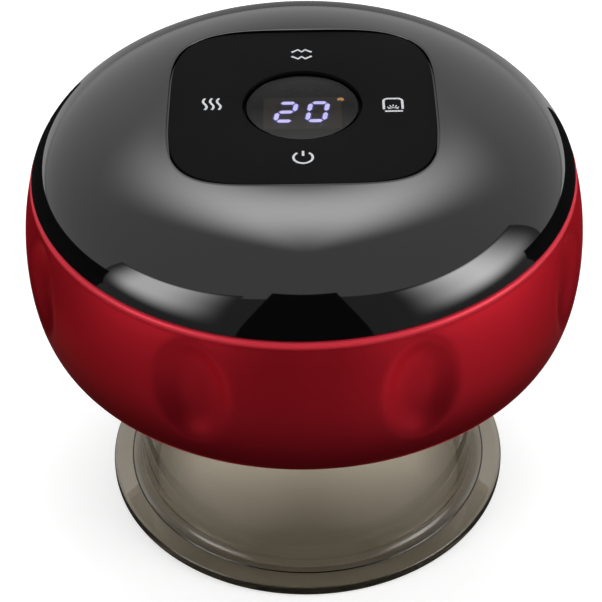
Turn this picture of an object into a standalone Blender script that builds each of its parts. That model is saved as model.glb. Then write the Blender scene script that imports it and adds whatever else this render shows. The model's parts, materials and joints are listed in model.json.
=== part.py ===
"""Electric cupping massager: a suction cup under a round body with a dimpled grip ring and a dome.

Metres, +Z up. The origin is the middle of the cup's rim, where the object rests. The front is at -Y.
"""

from math import atan2, cos, hypot, pi, radians, sin, sqrt

import bmesh
import bpy
from mathutils import Matrix, Vector

# Fits, facets and small allowances
GAP = 0.0003
MERGE = 0.000001
OVERRUN = 0.002
SHELL_STEPS = 48
RING_STEPS = 72
SEAT_STEPS = 32
DISC_STEPS = 24
ROD_STEPS = 12
CURVE_POINTS = 8

# Suction cup
CUP_HEIGHT = 0.03794
CUP_RADIUS = 0.030
CUP_WALL = 0.0022
CUP_RIM_RADIUS = 0.0354
CUP_RIM_THICKNESS = 0.0021
CUP_FILLET = 0.0018
CUP_EDGE = 0.0004
CUP_FLARE = 0.0010
CUP_BORE = CUP_RADIUS - CUP_WALL

# Base cover and the spigot that the cup pushes over
BASE_THICKNESS = 0.0019
SPIGOT_LENGTH = 0.0080
SPIGOT_WALL = 0.0045
SPIGOT_FIT = 0.0005
SEAL_THICKNESS = 0.0022
WINDOW_SEAT = 0.0012
CHAMBER_RADIUS = 0.0065
CHAMBER_WALL = 0.0015
BASE_BOTTOM = CUP_HEIGHT + GAP
BASE_TOP = BASE_BOTTOM + BASE_THICKNESS
SPIGOT_RADIUS = CUP_BORE - SPIGOT_FIT
SPIGOT_BORE = SPIGOT_RADIUS - SPIGOT_WALL
SPIGOT_BOTTOM = BASE_BOTTOM - SPIGOT_LENGTH
SEAL_CENTRE = CUP_BORE - GAP - SEAL_THICKNESS / 2
SEAL_LEVEL = BASE_BOTTOM - SPIGOT_LENGTH / 2 + SEAL_THICKNESS / 4
GROOVE_HALF = SEAL_THICKNESS / 2 + GAP
GROOVE_RADIUS = SEAL_CENTRE - GROOVE_HALF
CHAMBER_OUTER = CHAMBER_RADIUS + CHAMBER_WALL

# Light window, lamps, filter and its cap
CAP_THICKNESS = 0.0009
CAP_REACH = 0.0022
CAP_PLUG = 0.0020
CAP_HOLE = 0.0007
CAP_HOLE_COUNT = 4
FILTER_THICKNESS = 0.0030
WINDOW_THICKNESS = 0.0013
LAMP_BOARD_THICKNESS = 0.0012
LAMP_BOARD_FIT = 0.0006
LAMP_COUNT = 6
LAMP_RADIUS = 0.0024
LAMP_HEIGHT = 0.0026
CAP_TOP = SPIGOT_BOTTOM + CAP_THICKNESS
WINDOW_BOTTOM = CAP_TOP + GAP
WINDOW_TOP = WINDOW_BOTTOM + WINDOW_THICKNESS
WINDOW_LEDGE = WINDOW_TOP + GAP
SEAT_RADIUS = SPIGOT_BORE + WINDOW_SEAT
LAMP_BOARD_INNER = CHAMBER_OUTER + LAMP_BOARD_FIT
LAMP_BOARD_OUTER = SPIGOT_BORE - GAP
LAMP_BOARD_TOP = BASE_BOTTOM - GAP
LAMP_BOARD_BOTTOM = LAMP_BOARD_TOP - LAMP_BOARD_THICKNESS
LAMP_CIRCLE = (LAMP_BOARD_INNER + LAMP_BOARD_OUTER) / 2

# Body: grip ring and dome, as high as the pump and the board over it need.
# Curve points are shares of the radius and the height.
BODY_RADIUS = 0.0465
PUMP_RADIUS = 0.0100
PUMP_HEADROOM = 0.00283
MOUNT_FLOOR = 0.0012
BOARD_THICKNESS = 0.0016
BOARD_DROP = 0.0090
DOME_HEIGHT = 0.0120
DOME_FLAT_RADIUS = 0.022
SHELL_WALL = 0.0022
RING_LIP = 0.0013
RING_FLANGE = 0.0015
COVER_LIP = 0.0015
COVER_LIP_DEPTH = 0.0025
RING_CURVE_SHARES = ((0.9555, 1.0), (1.0232, 0.6556), (1.0125, 0.078), (0.931, 0.0))
DOME_CURVE_SHARES = ((0.0, 1.0), (0.3232, 1.0), (0.8939, 0.6905), (1.0, 0.0))
DIMPLE_COUNT = 8
DIMPLE_WIDTH = 0.0150
DIMPLE_HEIGHT = 0.0215
DIMPLE_DEPTH = 0.0020
DIMPLE_LEVEL_SHARE = 0.583
DIMPLE_CROWD_SHARE = 0.5
PUMP_Z = BASE_TOP + GAP + MOUNT_FLOOR + GAP + PUMP_RADIUS
BOARD_BOTTOM = PUMP_Z + PUMP_RADIUS + PUMP_HEADROOM
BOARD_TOP = BOARD_BOTTOM + BOARD_THICKNESS
COVER_CEILING = BOARD_TOP + BOARD_DROP
TOP = COVER_CEILING + SHELL_WALL
DOME_BOTTOM = TOP - DOME_HEIGHT
SEAM = DOME_BOTTOM - GAP
RING_HEIGHT = SEAM - BASE_BOTTOM
SEAM_RADIUS = BODY_RADIUS * RING_CURVE_SHARES[0][0]
LIP_BORE = BODY_RADIUS * RING_CURVE_SHARES[-1][0] - RING_LIP
BASE_RADIUS = LIP_BORE - GAP
FLANGE_BOTTOM = BASE_TOP + GAP
FLANGE_TOP = FLANGE_BOTTOM + RING_FLANGE
FLANGE_BORE = LIP_BORE - RING_FLANGE

# Screw posts and board bosses under the dome
POST_RADIUS = 0.0032
POST_CLEARANCE = 0.0015
BOSS_RADIUS = 0.0024
BOSS_INSET = 0.0035
BOSS_ANGLE = 42.3
BASE_SCREW_SHANK = 0.0011
BASE_SCREW_HEAD = 0.0022
BASE_SCREW_HEAD_HEIGHT = 0.0007
BASE_SCREW_LENGTH = 0.0090
BOARD_SCREW_SHANK = 0.0008
BOARD_SCREW_HEAD = 0.0017
BOARD_SCREW_HEAD_HEIGHT = 0.0011
BOARD_SCREW_LENGTH = 0.0060
SCREW_CROSS_SHARE = 0.62
SCREW_SLOT_SHARE = 0.2
PILOT_SPARE = 0.0010
POST_CIRCLE = FLANGE_BORE - GAP - POST_RADIUS
HEAD_ROOM = BASE_SCREW_HEAD_HEIGHT + GAP

# Control panel and display window
PANEL_HALF = 0.02145
PANEL_POWER = 4.1
PANEL_POINTS = 48
PANEL_THICKNESS = 0.00055
PANEL_RECESS = 0.00025
LENS_RADIUS = 0.0090
LENS_THICKNESS = 0.00095
LENS_RECESS = 0.00072
LENS_SLOPE = 0.00035
LENS_LEDGE = 0.0010
LEDGE_THICKNESS = 0.0012
LEDGE_WALL = 0.0022
PANEL_TOP = TOP - PANEL_RECESS
PANEL_BOTTOM = PANEL_TOP - PANEL_THICKNESS
POCKET_FLOOR = PANEL_BOTTOM - GAP
LENS_TOP = TOP - LENS_RECESS
LENS_BOTTOM = LENS_TOP - LENS_THICKNESS
LEDGE_TOP = LENS_BOTTOM - GAP
LEDGE_BOTTOM = LEDGE_TOP - LEDGE_THICKNESS
LENS_BORE = LENS_RADIUS + GAP
SIGHT_RADIUS = LENS_RADIUS - LENS_LEDGE

# Main board and what stands on it
BOARD_FIT = 0.0006
DISPLAY_WIDTH = 0.0124
DISPLAY_DEPTH = 0.0084
DISPLAY_DROP = 0.0006
TOUCH_PLACE = 0.0145
TOUCH_RADIUS = 0.0026
TOUCH_WIRE = 0.0003
TOUCH_TURNS = 3
CHIP_SIDE = 0.0070
CHIP_HEIGHT = 0.0012
BUZZER_RADIUS = 0.0045
BUZZER_HEIGHT = 0.0045
BUZZER_HOLE = 0.0010
CHIP_PLACE_X = 0.0210
CHIP_PLACE_Y = 0.0080
SENSOR_SIDE = 0.0070
SENSOR_HEIGHT = 0.0034
BOARD_RADIUS = POST_CIRCLE - POST_RADIUS - BOARD_FIT

# Hoses and their nipples
HOSE_RADIUS = 0.0022
HOSE_BORE = 0.0013
HOSE_BEND = 0.0038
HOSE_SIDES = 8
HOSE_CLEARANCE = 0.0011
NIPPLE_BORE = 0.0005
NIPPLE_LENGTH = 0.0045
BASE_NIPPLE_LENGTH = 0.0022
NIPPLE_PITCH = 0.0050
NIPPLE_RADIUS = HOSE_BORE - GAP
HOSE_START = BASE_TOP + GAP
VALVE_PORT = HOSE_START + BASE_NIPPLE_LENGTH + HOSE_BEND
HOSE_LEVEL = VALVE_PORT + 2 * HOSE_RADIUS + HOSE_CLEARANCE

# Battery cell in its cradle, behind the hoses
CHANNEL_SIDE = 0.0013
BATTERY_RADIUS = 0.00915
BATTERY_LENGTH = 0.0500
BATTERY_BUTTON = 0.0030
BATTERY_BUTTON_HEIGHT = 0.0009
BATTERY_EDGE = 0.0008
CRADLE_FLOOR = 0.0012
CRADLE_LENGTH = 0.0400
CRADLE_WIDTH = 0.0140
CRADLE_RISE = 0.0045
BATTERY_Y = HOSE_RADIUS + CHANNEL_SIDE + BATTERY_RADIUS
BATTERY_Z = BASE_TOP + GAP + CRADLE_FLOOR + GAP + BATTERY_RADIUS

# Vacuum pump, its axis along X in front of the hoses, stations counted from its back
PUMP_BACK_X = -0.0260
MOTOR_LENGTH = 0.0200
MOTOR_WALL = 0.0008
MAGNET_THICKNESS = 0.0017
MAGNET_LENGTH = 0.0120
SHAFT_RADIUS = 0.0010
ROTOR_GAP = 0.0005
ROTOR_LENGTH = 0.0100
COMMUTATOR_RADIUS = 0.0026
COMMUTATOR_LENGTH = 0.0018
MOTOR_CAP_THICKNESS = 0.0020
HOUSING_WALL = 0.0013
HOUSING_HOLE = 0.0030
ECCENTRIC_RADIUS = 0.0050
ECCENTRIC_LENGTH = 0.0030
SHAFT_GRIP = 0.0017
PIN_RADIUS = 0.0007
WOBBLE_TILT = 6.0
WOBBLE_RADIUS = 0.0068
WOBBLE_THICKNESS = 0.0012
WOBBLE_HUB = 0.0024
WOBBLE_HUB_LENGTH = 0.0007
DIAPHRAGM_THICKNESS = 0.0014
VALVE_PLATE_THICKNESS = 0.0020
PORT_COUNT = 3
PORT_RADIUS = 0.0008
PORT_CIRCLE = 0.0050
HEAD_THICKNESS = 0.0034
HEAD_RECESS = 0.0012
HEAD_WALL = 0.0022
HOSE_RUN = 0.0009
OUTLET_LENGTH = 0.0025
MOUNT_LENGTH = 0.0160
MOUNT_WIDTH = 0.0140
MOUNT_RISE = 0.0045
MOUNT_START = 0.0020
PUMP_Y = -(HOSE_RADIUS + CHANNEL_SIDE + PUMP_RADIUS)
CAN_BORE = PUMP_RADIUS - MOTOR_WALL
HOUSING_START = MOTOR_LENGTH + GAP
ECCENTRIC_START = HOUSING_START + HOUSING_WALL + GAP
ECCENTRIC_END = ECCENTRIC_START + ECCENTRIC_LENGTH
WOBBLE_SWING = WOBBLE_RADIUS * sin(radians(WOBBLE_TILT)) + WOBBLE_THICKNESS / 2
WOBBLE_STATION = ECCENTRIC_END + GAP + WOBBLE_SWING
HUB_SWING = WOBBLE_THICKNESS / 2 + WOBBLE_HUB_LENGTH + WOBBLE_HUB * sin(radians(WOBBLE_TILT))
HOUSING_END = WOBBLE_STATION + HUB_SWING
DIAPHRAGM_START = HOUSING_END + GAP
VALVE_PLATE_START = DIAPHRAGM_START + DIAPHRAGM_THICKNESS + GAP
HEAD_START = VALVE_PLATE_START + VALVE_PLATE_THICKNESS + GAP
HEAD_END = HEAD_START + HEAD_THICKNESS
PUMP_FRONT_X = PUMP_BACK_X + HEAD_END
INLET_Y = -(2 * HOSE_BEND + HOSE_RUN)
NOZZLE_OFFSET = INLET_Y - PUMP_Y
NOZZLE_RISE = HOSE_LEVEL - PUMP_Z
TURN_X = PUMP_FRONT_X + NIPPLE_LENGTH + HOSE_BEND

# Release valve at the end of the hoses
VALVE_WIDTH = 0.0100
VALVE_DEPTH = 0.0110
VALVE_PORT_DROP = 0.0030
VALVE_SHIFT = 0.0035
VALVE_ROOM = 0.0012
ORIFICE_RADIUS = 0.0005
YOKE_PLATE = 0.0010
YOKE_DEPTH = 0.0090
COIL_ROOM = 0.0003
CORE_RADIUS = 0.0012
CORE_FIT = 0.0005
PLUNGER_HEAD = 0.0026
PLUNGER_HEAD_HEIGHT = 0.0012
PLUNGER_STROKE = 0.0010
SPRING_HEIGHT = 0.0022
SPRING_WIRE = 0.00022
SPRING_RADIUS = 0.0019
SPRING_TURNS = 3
CORE_DEPTH_SHARE = 0.45
VALVE_X = TURN_X + HOSE_RADIUS + VALVE_ROOM + VALVE_WIDTH / 2
VALVE_Y = -VALVE_SHIFT
VALVE_BOTTOM = BASE_TOP + GAP
VALVE_TOP = VALVE_PORT + VALVE_PORT_DROP
PLUNGER_BOTTOM = VALVE_TOP + GAP
SPRING_BOTTOM = PLUNGER_BOTTOM + PLUNGER_HEAD_HEIGHT + GAP
SPRING_TOP = SPRING_BOTTOM + SPRING_HEIGHT
COIL_BOTTOM = SPRING_TOP + GAP
YOKE_TOP = PUMP_Z + PUMP_RADIUS - GAP
YOKE_UNDERSIDE = YOKE_TOP - YOKE_PLATE
COIL_TOP = YOKE_UNDERSIDE - GAP
COIL_HEIGHT = COIL_TOP - COIL_BOTTOM
CORE_BOTTOM = COIL_TOP - COIL_HEIGHT * CORE_DEPTH_SHARE

# Charging socket in the rear of the ring
SOCKET_WIDTH = 0.00894
SOCKET_HEIGHT = 0.00326
SOCKET_LENGTH = 0.00735
SOCKET_WALL = 0.0003
SOCKET_BACK = 0.0008
SOCKET_RECESS = 0.0010
SOCKET_RISE = 0.0140
TONGUE_WIDTH = 0.0066
TONGUE_THICKNESS = 0.0007
TONGUE_LENGTH = 0.0048
CHARGE_BOARD_WIDTH = 0.0140
CHARGE_BOARD_DEPTH = 0.0130
CHARGE_BOARD_THICKNESS = 0.0012
CHARGE_BOARD_FIT = 0.0015
STANDOFF_RADIUS = 0.0015
STANDOFF_INSET = 0.0025
PORT_LEVEL = BASE_BOTTOM + SOCKET_RISE
CHARGE_BOARD_TOP = PORT_LEVEL - SOCKET_HEIGHT / 2 - GAP
CHARGE_BOARD_BOTTOM = CHARGE_BOARD_TOP - CHARGE_BOARD_THICKNESS

# Wires
WIRE_RADIUS = 0.0006
WIRE_REACH = 0.0022
LAMP_WIRE_X = 0.0120

# Finishes: colour, roughness, metallic
FINISHES = {
    "dome_gloss": ((0.020, 0.020, 0.022), 0.08, 0.0),
    "panel_black": ((0.010, 0.010, 0.011), 0.45, 0.0),
    "smoked_window": ((0.030, 0.030, 0.034), 0.05, 0.0),
    "ring_red": ((0.420, 0.010, 0.022), 0.32, 0.85),
    "base_black": ((0.020, 0.020, 0.021), 0.50, 0.0),
    "cup_smoke": ((0.240, 0.215, 0.185), 0.06, 0.0),
    "seal_rubber": ((0.060, 0.060, 0.062), 0.70, 0.0),
    "window_clear": ((0.700, 0.700, 0.720), 0.12, 0.0),
    "lamp_red": ((0.700, 0.050, 0.040), 0.20, 0.0),
    "filter_felt": ((0.780, 0.770, 0.740), 0.95, 0.0),
    "board_green": ((0.020, 0.140, 0.060), 0.40, 0.0),
    "chip_black": ((0.015, 0.015, 0.016), 0.35, 0.0),
    "nylon_white": ((0.720, 0.710, 0.680), 0.50, 0.0),
    "spring_steel": ((0.620, 0.620, 0.630), 0.30, 1.0),
    "can_steel": ((0.480, 0.480, 0.490), 0.35, 1.0),
    "magnet_grey": ((0.090, 0.090, 0.095), 0.55, 0.4),
    "coil_copper": ((0.600, 0.240, 0.090), 0.35, 0.9),
    "cell_wrap": ((0.030, 0.120, 0.360), 0.35, 0.0),
    "silicone_clear": ((0.740, 0.740, 0.720), 0.45, 0.0),
    "wire_red": ((0.520, 0.020, 0.020), 0.45, 0.0),
}


def clear_scene():
    for obj in list(bpy.data.objects):
        bpy.data.objects.remove(obj)


def material(name):
    """The finish of this name as a Principled material, made once."""
    found = bpy.data.materials.get(name)
    if found:
        return found
    colour, roughness, metallic = FINISHES[name]
    made = bpy.data.materials.new(name)
    made.use_nodes = True
    shader = made.node_tree.nodes["Principled BSDF"]
    shader.inputs["Base Color"].default_value = (*colour, 1)
    shader.inputs["Roughness"].default_value = roughness
    shader.inputs["Metallic"].default_value = metallic
    made.diffuse_color = (*colour, 1)
    return made


def add_object(name, data, finish=None, parent=None, location=(0, 0, 0), rotation=(0, 0, 0)):
    obj = bpy.data.objects.new(name, data)
    bpy.context.scene.collection.objects.link(obj)
    obj.parent = parent
    obj.location = location
    obj.rotation_euler = rotation
    if finish:
        data.materials.append(material(finish))
    return obj


def guide(name, mesh, parent=None):
    """A helper shape for a Boolean, left out of the model."""
    obj = add_object(name, mesh, parent=parent)
    obj.hide_render = True
    obj.display_type = "WIRE"
    return obj


def combine(target, operand, operation):
    modifier = target.modifiers.new(operation.lower(), "BOOLEAN")
    modifier.operation = operation
    modifier.solver = "EXACT"
    modifier.object = operand


def finished(name, bm, smooth_angle=40):
    bmesh.ops.recalc_face_normals(bm, faces=bm.faces)
    mesh = bpy.data.meshes.new(name)
    bm.to_mesh(mesh)
    bm.free()
    mesh.shade_smooth()
    mesh.set_sharp_from_angle(angle=radians(smooth_angle))
    return mesh


def turned_bmesh(outline, steps):
    """An (r, z) outline turned once round Z. One that starts and ends on the axis is open there."""
    bm = bmesh.new()
    verts = [bm.verts.new((r, 0, z)) for r, z in outline]
    edges = [bm.edges.new(pair) for pair in zip(verts, verts[1:])]
    if outline[0][0] > 0:
        edges.append(bm.edges.new((verts[-1], verts[0])))
    bmesh.ops.spin(
        bm,
        geom=verts + edges,
        axis=(0, 0, 1),
        cent=(0, 0, 0),
        angle=2 * pi,
        steps=steps,
        use_merge=True,
    )
    bmesh.ops.remove_doubles(bm, verts=bm.verts, dist=MERGE)
    return bm


def turned(name, outline, steps=DISC_STEPS):
    return finished(name, turned_bmesh(outline, steps))


def rod_outline(radius, low, high):
    return [(0, low), (radius, low), (radius, high), (0, high)]


def tube_outline(inner, outer, low, high):
    return [(inner, low), (outer, low), (outer, high), (inner, high)]


def rods(name, places, radius, low, high, steps=ROD_STEPS):
    """Upright cylinders of one size at each (x, y) place, in one mesh."""
    bm = bmesh.new()
    for x, y in places:
        bmesh.ops.create_cone(
            bm,
            cap_ends=True,
            segments=steps,
            radius1=radius,
            radius2=radius,
            depth=high - low,
            matrix=Matrix.Translation((x, y, (low + high) / 2)),
        )
    return finished(name, bm)


def block(name, low, high):
    """A box from its lowest to its highest corner."""
    low, high = Vector(low), Vector(high)
    bm = bmesh.new()
    place = Matrix.Translation((low + high) / 2) @ Matrix.Diagonal((*(high - low), 1))
    bmesh.ops.create_cube(bm, size=1, matrix=place)
    return finished(name, bm)


def prism(name, outline, depth):
    """A flat outline of 3D points extruded by a vector."""
    bm = bmesh.new()
    face = bm.faces.new([bm.verts.new(point) for point in outline])
    grown = bmesh.ops.extrude_face_region(bm, geom=[face], use_keep_orig=True)
    moved = [part for part in grown["geom"] if isinstance(part, bmesh.types.BMVert)]
    bmesh.ops.translate(bm, verts=moved, vec=depth)
    return finished(name, bm)


def bezier(shares, width, height, start=0.0, low=0.0):
    """(r, z) points of a cubic curve whose control points are shares of a width and a height."""
    points = []
    for step in range(CURVE_POINTS + 1):
        t = step / CURVE_POINTS
        weights = ((1 - t) ** 3, 3 * (1 - t) ** 2 * t, 3 * (1 - t) * t**2, t**3)
        r = sum(weight * share[0] for weight, share in zip(weights, shares))
        z = sum(weight * share[1] for weight, share in zip(weights, shares))
        points.append((start + r * width, low + z * height))
    return points


def offset(points, distance):
    """The (r, z) curve moved sideways, to the left of its direction for a positive distance."""
    moved = []
    for index, (r, z) in enumerate(points):
        before = points[max(index - 1, 0)]
        after = points[min(index + 1, len(points) - 1)]
        along = Vector((after[0] - before[0], after[1] - before[1])).normalized()
        moved.append((r - along.y * distance, z + along.x * distance))
    return moved


def radius_at(points, level):
    """The radius of an (r, z) curve that falls steadily, at a level."""
    for (r1, z1), (r2, z2) in zip(points, points[1:]):
        if z1 >= level >= z2:
            return r1 + (r2 - r1) * (z1 - level) / (z1 - z2)
    return points[-1][0]


def level_at(points, radius):
    """The level of an (r, z) curve that widens steadily, at a radius."""
    for (r1, z1), (r2, z2) in zip(points, points[1:]):
        if r1 <= radius <= r2:
            return z1 + (z2 - z1) * (radius - r1) / (r2 - r1)
    return points[-1][1]


def ring_curve():
    return bezier(RING_CURVE_SHARES, BODY_RADIUS, RING_HEIGHT, low=BASE_BOTTOM)


def dome_curve():
    width = SEAM_RADIUS - DOME_FLAT_RADIUS
    return bezier(DOME_CURVE_SHARES, width, DOME_HEIGHT, start=DOME_FLAT_RADIUS, low=DOME_BOTTOM)


def circle_places(count, radius, start=0.0):
    return [
        (radius * cos(start + 2 * pi * step / count), radius * sin(start + 2 * pi * step / count))
        for step in range(count)
    ]


def post_places():
    """Four places on one circle, two behind the battery and two in front of the pump."""
    back = BATTERY_Y + BATTERY_RADIUS + POST_CLEARANCE + POST_RADIUS
    front = PUMP_Y - PUMP_RADIUS - POST_CLEARANCE - POST_RADIUS
    places = []
    for y in (back, front):
        x = sqrt(POST_CIRCLE**2 - y**2)
        places += [(x, y), (-x, y)]
    return places


def boss_places():
    radius = BOARD_RADIUS - BOSS_INSET
    x = radius * cos(radians(BOSS_ANGLE))
    y = radius * sin(radians(BOSS_ANGLE))
    return [(x, y), (-x, y), (0, -radius)]


def standoff_places():
    x = CHARGE_BOARD_WIDTH / 2 - STANDOFF_INSET
    y = charge_board_front() - CHARGE_BOARD_DEPTH + STANDOFF_INSET
    return [(x, y), (-x, y)]


def port_radius():
    return radius_at(ring_curve(), PORT_LEVEL)


def charge_board_front():
    return port_radius() - SHELL_WALL - CHARGE_BOARD_FIT


def squircle(half, level, points=PANEL_POINTS):
    """A rounded square with gently curved sides."""
    outline = []
    for step in range(points):
        angle = 2 * pi * step / points
        size = (abs(cos(angle)) ** PANEL_POWER + abs(sin(angle)) ** PANEL_POWER) ** (-1 / PANEL_POWER)
        outline.append((half * size * cos(angle), half * size * sin(angle), level))
    return outline


def rounded_slot(width, height, y):
    """A slot with round ends in the XZ plane, its middle at the charging port."""
    outline = []
    radius = height / 2
    straight = width / 2 - radius
    half_steps = ROD_STEPS // 2
    for side in (1, -1):
        for step in range(half_steps + 1):
            angle = side * pi / 2 - pi * step / half_steps
            outline.append((side * straight + radius * cos(angle), y, PORT_LEVEL + radius * sin(angle)))
    return outline


def rounded_path(corners, bend, steps=4):
    """The corners joined by straight runs, each turn rounded to the bend radius."""
    corners = [Vector(corner) for corner in corners]
    path = [corners[0]]
    for before, corner, after in zip(corners, corners[1:], corners[2:]):
        inward = (before - corner).normalized()
        outward = (after - corner).normalized()
        centre = corner + (inward + outward) * bend
        for step in range(steps + 1):
            angle = pi / 2 * step / steps
            path.append(centre - outward * bend * cos(angle) - inward * bend * sin(angle))
    path.append(corners[-1])
    return path


def hose_mesh(name, path):
    """A hose with its bore, swept along a path that only turns square corners."""
    bm = bmesh.new()
    loops = []
    side = Vector((0, 1, 0))
    for index, point in enumerate(path):
        before = path[max(index - 1, 0)]
        after = path[min(index + 1, len(path) - 1)]
        along = (after - before).normalized()
        side = (side - along * side.dot(along)).normalized()
        other = along.cross(side)
        for radius in (HOSE_RADIUS, HOSE_BORE):
            loop = []
            for step in range(HOSE_SIDES):
                angle = 2 * pi * step / HOSE_SIDES
                loop.append(bm.verts.new(point + (side * cos(angle) + other * sin(angle)) * radius))
            loops.append(loop)
    outer, inner = loops[0::2], loops[1::2]
    for skin in (outer, inner):
        for first, second in zip(skin, skin[1:]):
            bridge(bm, first, second)
    for end in (0, -1):
        bridge(bm, outer[end], inner[end])
    return finished(name, bm)


def bridge(bm, first, second):
    for step in range(len(first)):
        after = (step + 1) % len(first)
        bm.faces.new((first[step], first[after], second[after], second[step]))


def wire(name, points, radius, finish, resolution=1, parent=None):
    """A round wire along points, with closed ends."""
    curve = bpy.data.curves.new(name, "CURVE")
    curve.dimensions = "3D"
    curve.bevel_depth = radius
    curve.bevel_resolution = resolution
    curve.use_fill_caps = True
    spline = curve.splines.new("POLY")
    spline.points.add(len(points) - 1)
    for target, point in zip(spline.points, points):
        target.co = (*point, 1)
    return add_object(name, curve, finish, parent=parent)


def helix(x, y, low, high, radius, turns, per_turn=8):
    """A spring's path: open turns between two flat half turns."""
    points = []
    count = turns * per_turn
    for step in range(count + 1):
        share = min(max((step - per_turn / 2) / (count - per_turn), 0), 1)
        angle = 2 * pi * step / per_turn
        points.append((x + radius * cos(angle), y + radius * sin(angle), low + (high - low) * share))
    return points


def smooth_points(knots, per_span=5):
    """Points on a Catmull-Rom curve through the knots."""
    knots = [Vector(knot) for knot in knots]
    ends = [knots[0] * 2 - knots[1], *knots, knots[-1] * 2 - knots[-2]]
    points = []
    for a, b, c, d in zip(ends, ends[1:], ends[2:], ends[3:]):
        for step in range(per_span):
            t = step / per_span
            points.append(
                (b * 2 + (c - a) * t + (a * 2 - b * 5 + c * 4 - d) * t**2 + (b * 3 - a - c * 3 + d) * t**3) / 2
            )
    return [*points, knots[-1]]


def warped_share(share):
    """Moves columns towards the middle of each dimple."""
    return share * (DIMPLE_CROWD_SHARE + (1 - DIMPLE_CROWD_SHARE) * (2 * share) ** 2)


def dimple(across, up):
    """How deep a finger dimple is at a distance across and up from its middle."""
    reach = (2 * across / DIMPLE_WIDTH) ** 2 + (2 * up / DIMPLE_HEIGHT) ** 2
    return DIMPLE_DEPTH * (1 - reach) ** 2 * (1 + 2 * reach) if reach < 1 else 0


def press_dimples(bm):
    pitch = 2 * pi / DIMPLE_COUNT
    level = BASE_BOTTOM + RING_HEIGHT * DIMPLE_LEVEL_SHARE
    for vert in bm.verts:
        radius = hypot(vert.co.x, vert.co.y)
        turn = atan2(vert.co.y, vert.co.x) / pitch
        nearest = round(turn - 1 / 2)
        share = warped_share(turn - 1 / 2 - nearest)
        angle = (nearest + 1 / 2 + share) * pitch
        radius -= dimple(share * pitch * BODY_RADIUS, vert.co.z - level)
        vert.co.x = radius * cos(angle)
        vert.co.y = radius * sin(angle)


def make_grip_ring():
    outer = ring_curve()
    inner = [(r - SHELL_WALL, z) for r, z in outer if z > FLANGE_TOP + GAP]
    outline = [
        *outer,
        (LIP_BORE, BASE_BOTTOM),
        (LIP_BORE, FLANGE_BOTTOM),
        (FLANGE_BORE, FLANGE_BOTTOM),
        (FLANGE_BORE, FLANGE_TOP),
        (radius_at(outer, FLANGE_TOP) - SHELL_WALL, FLANGE_TOP),
        *reversed(inner),
    ]
    bm = turned_bmesh(outline, RING_STEPS)
    press_dimples(bm)
    ring = add_object("grip_ring", finished("grip_ring", bm), "ring_red")
    width = SOCKET_WIDTH + 2 * GAP
    height = SOCKET_HEIGHT + 2 * GAP
    inside = port_radius() - SHELL_WALL - OVERRUN
    slot = prism("port_cutter", rounded_slot(width, height, inside), (0, SHELL_WALL + 2 * OVERRUN, 0))
    combine(ring, guide("port_cutter", slot), "DIFFERENCE")


def make_top_cover():
    outer = dome_curve()
    middle = offset(outer, -SHELL_WALL / 2)
    lip_outer = SEAM_RADIUS - SHELL_WALL - GAP
    lip_inner = lip_outer - COVER_LIP
    inner = [point for point in offset(outer, -SHELL_WALL) if point[0] < lip_inner]
    outline = [
        (SIGHT_RADIUS, LEDGE_TOP),
        (LENS_BORE, LEDGE_TOP),
        (LENS_BORE, TOP),
        *outer,
        (lip_outer, DOME_BOTTOM),
        (lip_outer, SEAM - COVER_LIP_DEPTH),
        (lip_inner, SEAM - COVER_LIP_DEPTH),
        (lip_inner, level_at(offset(outer, -SHELL_WALL), lip_inner)),
        *reversed(inner),
        (LENS_BORE + LEDGE_WALL, COVER_CEILING),
        (LENS_BORE + LEDGE_WALL, LEDGE_BOTTOM),
        (SIGHT_RADIUS, LEDGE_BOTTOM),
    ]
    cover = add_object("top_cover", turned("top_cover", outline, SHELL_STEPS), "dome_gloss")
    core_outline = [(0, BASE_BOTTOM), (lip_inner + COVER_LIP / 2, BASE_BOTTOM)]
    core_outline += [point for point in reversed(middle) if point[0] < lip_inner + COVER_LIP / 2]
    core_outline.append((0, TOP - SHELL_WALL / 2))
    core = guide("post_core", turned("post_core", core_outline, SHELL_STEPS))
    posts = rods("post_shapes", post_places(), POST_RADIUS, BASE_TOP + GAP, TOP + OVERRUN)
    bosses = rods("boss_shapes", boss_places(), BOSS_RADIUS, BOARD_TOP + GAP, TOP + OVERRUN)
    for shapes in (guide("post_shapes", posts), guide("boss_shapes", bosses)):
        combine(shapes, core, "INTERSECT")
        combine(cover, shapes, "UNION")
    post_pilot_top = BASE_BOTTOM + HEAD_ROOM + BASE_SCREW_LENGTH + PILOT_SPARE
    pilots = rods("post_pilots", post_places(), BASE_SCREW_SHANK + GAP, BASE_BOTTOM, post_pilot_top)
    combine(cover, guide("post_pilots", pilots), "DIFFERENCE")
    boss_pilot_top = BOARD_BOTTOM + BOARD_SCREW_LENGTH
    pilots = rods("boss_pilots", boss_places(), BOARD_SCREW_SHANK + GAP, BOARD_BOTTOM, boss_pilot_top)
    combine(cover, guide("boss_pilots", pilots), "DIFFERENCE")
    pocket_depth = TOP + OVERRUN - POCKET_FLOOR
    pocket = prism("panel_pocket", squircle(PANEL_HALF + GAP, POCKET_FLOOR), (0, 0, pocket_depth))
    combine(cover, guide("panel_pocket", pocket), "DIFFERENCE")


def make_control_panel():
    plate = prism("control_panel", squircle(PANEL_HALF, PANEL_BOTTOM), (0, 0, PANEL_THICKNESS))
    panel = add_object("control_panel", plate, "panel_black")
    slope = LENS_SLOPE / PANEL_THICKNESS
    outline = [
        (0, PANEL_BOTTOM - OVERRUN),
        (LENS_BORE, PANEL_BOTTOM - OVERRUN),
        (LENS_BORE, PANEL_BOTTOM),
        (LENS_BORE + LENS_SLOPE + slope * OVERRUN, PANEL_TOP + OVERRUN),
        (0, PANEL_TOP + OVERRUN),
    ]
    combine(panel, guide("window_cutter", turned("window_cutter", outline, SEAT_STEPS)), "DIFFERENCE")


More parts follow.
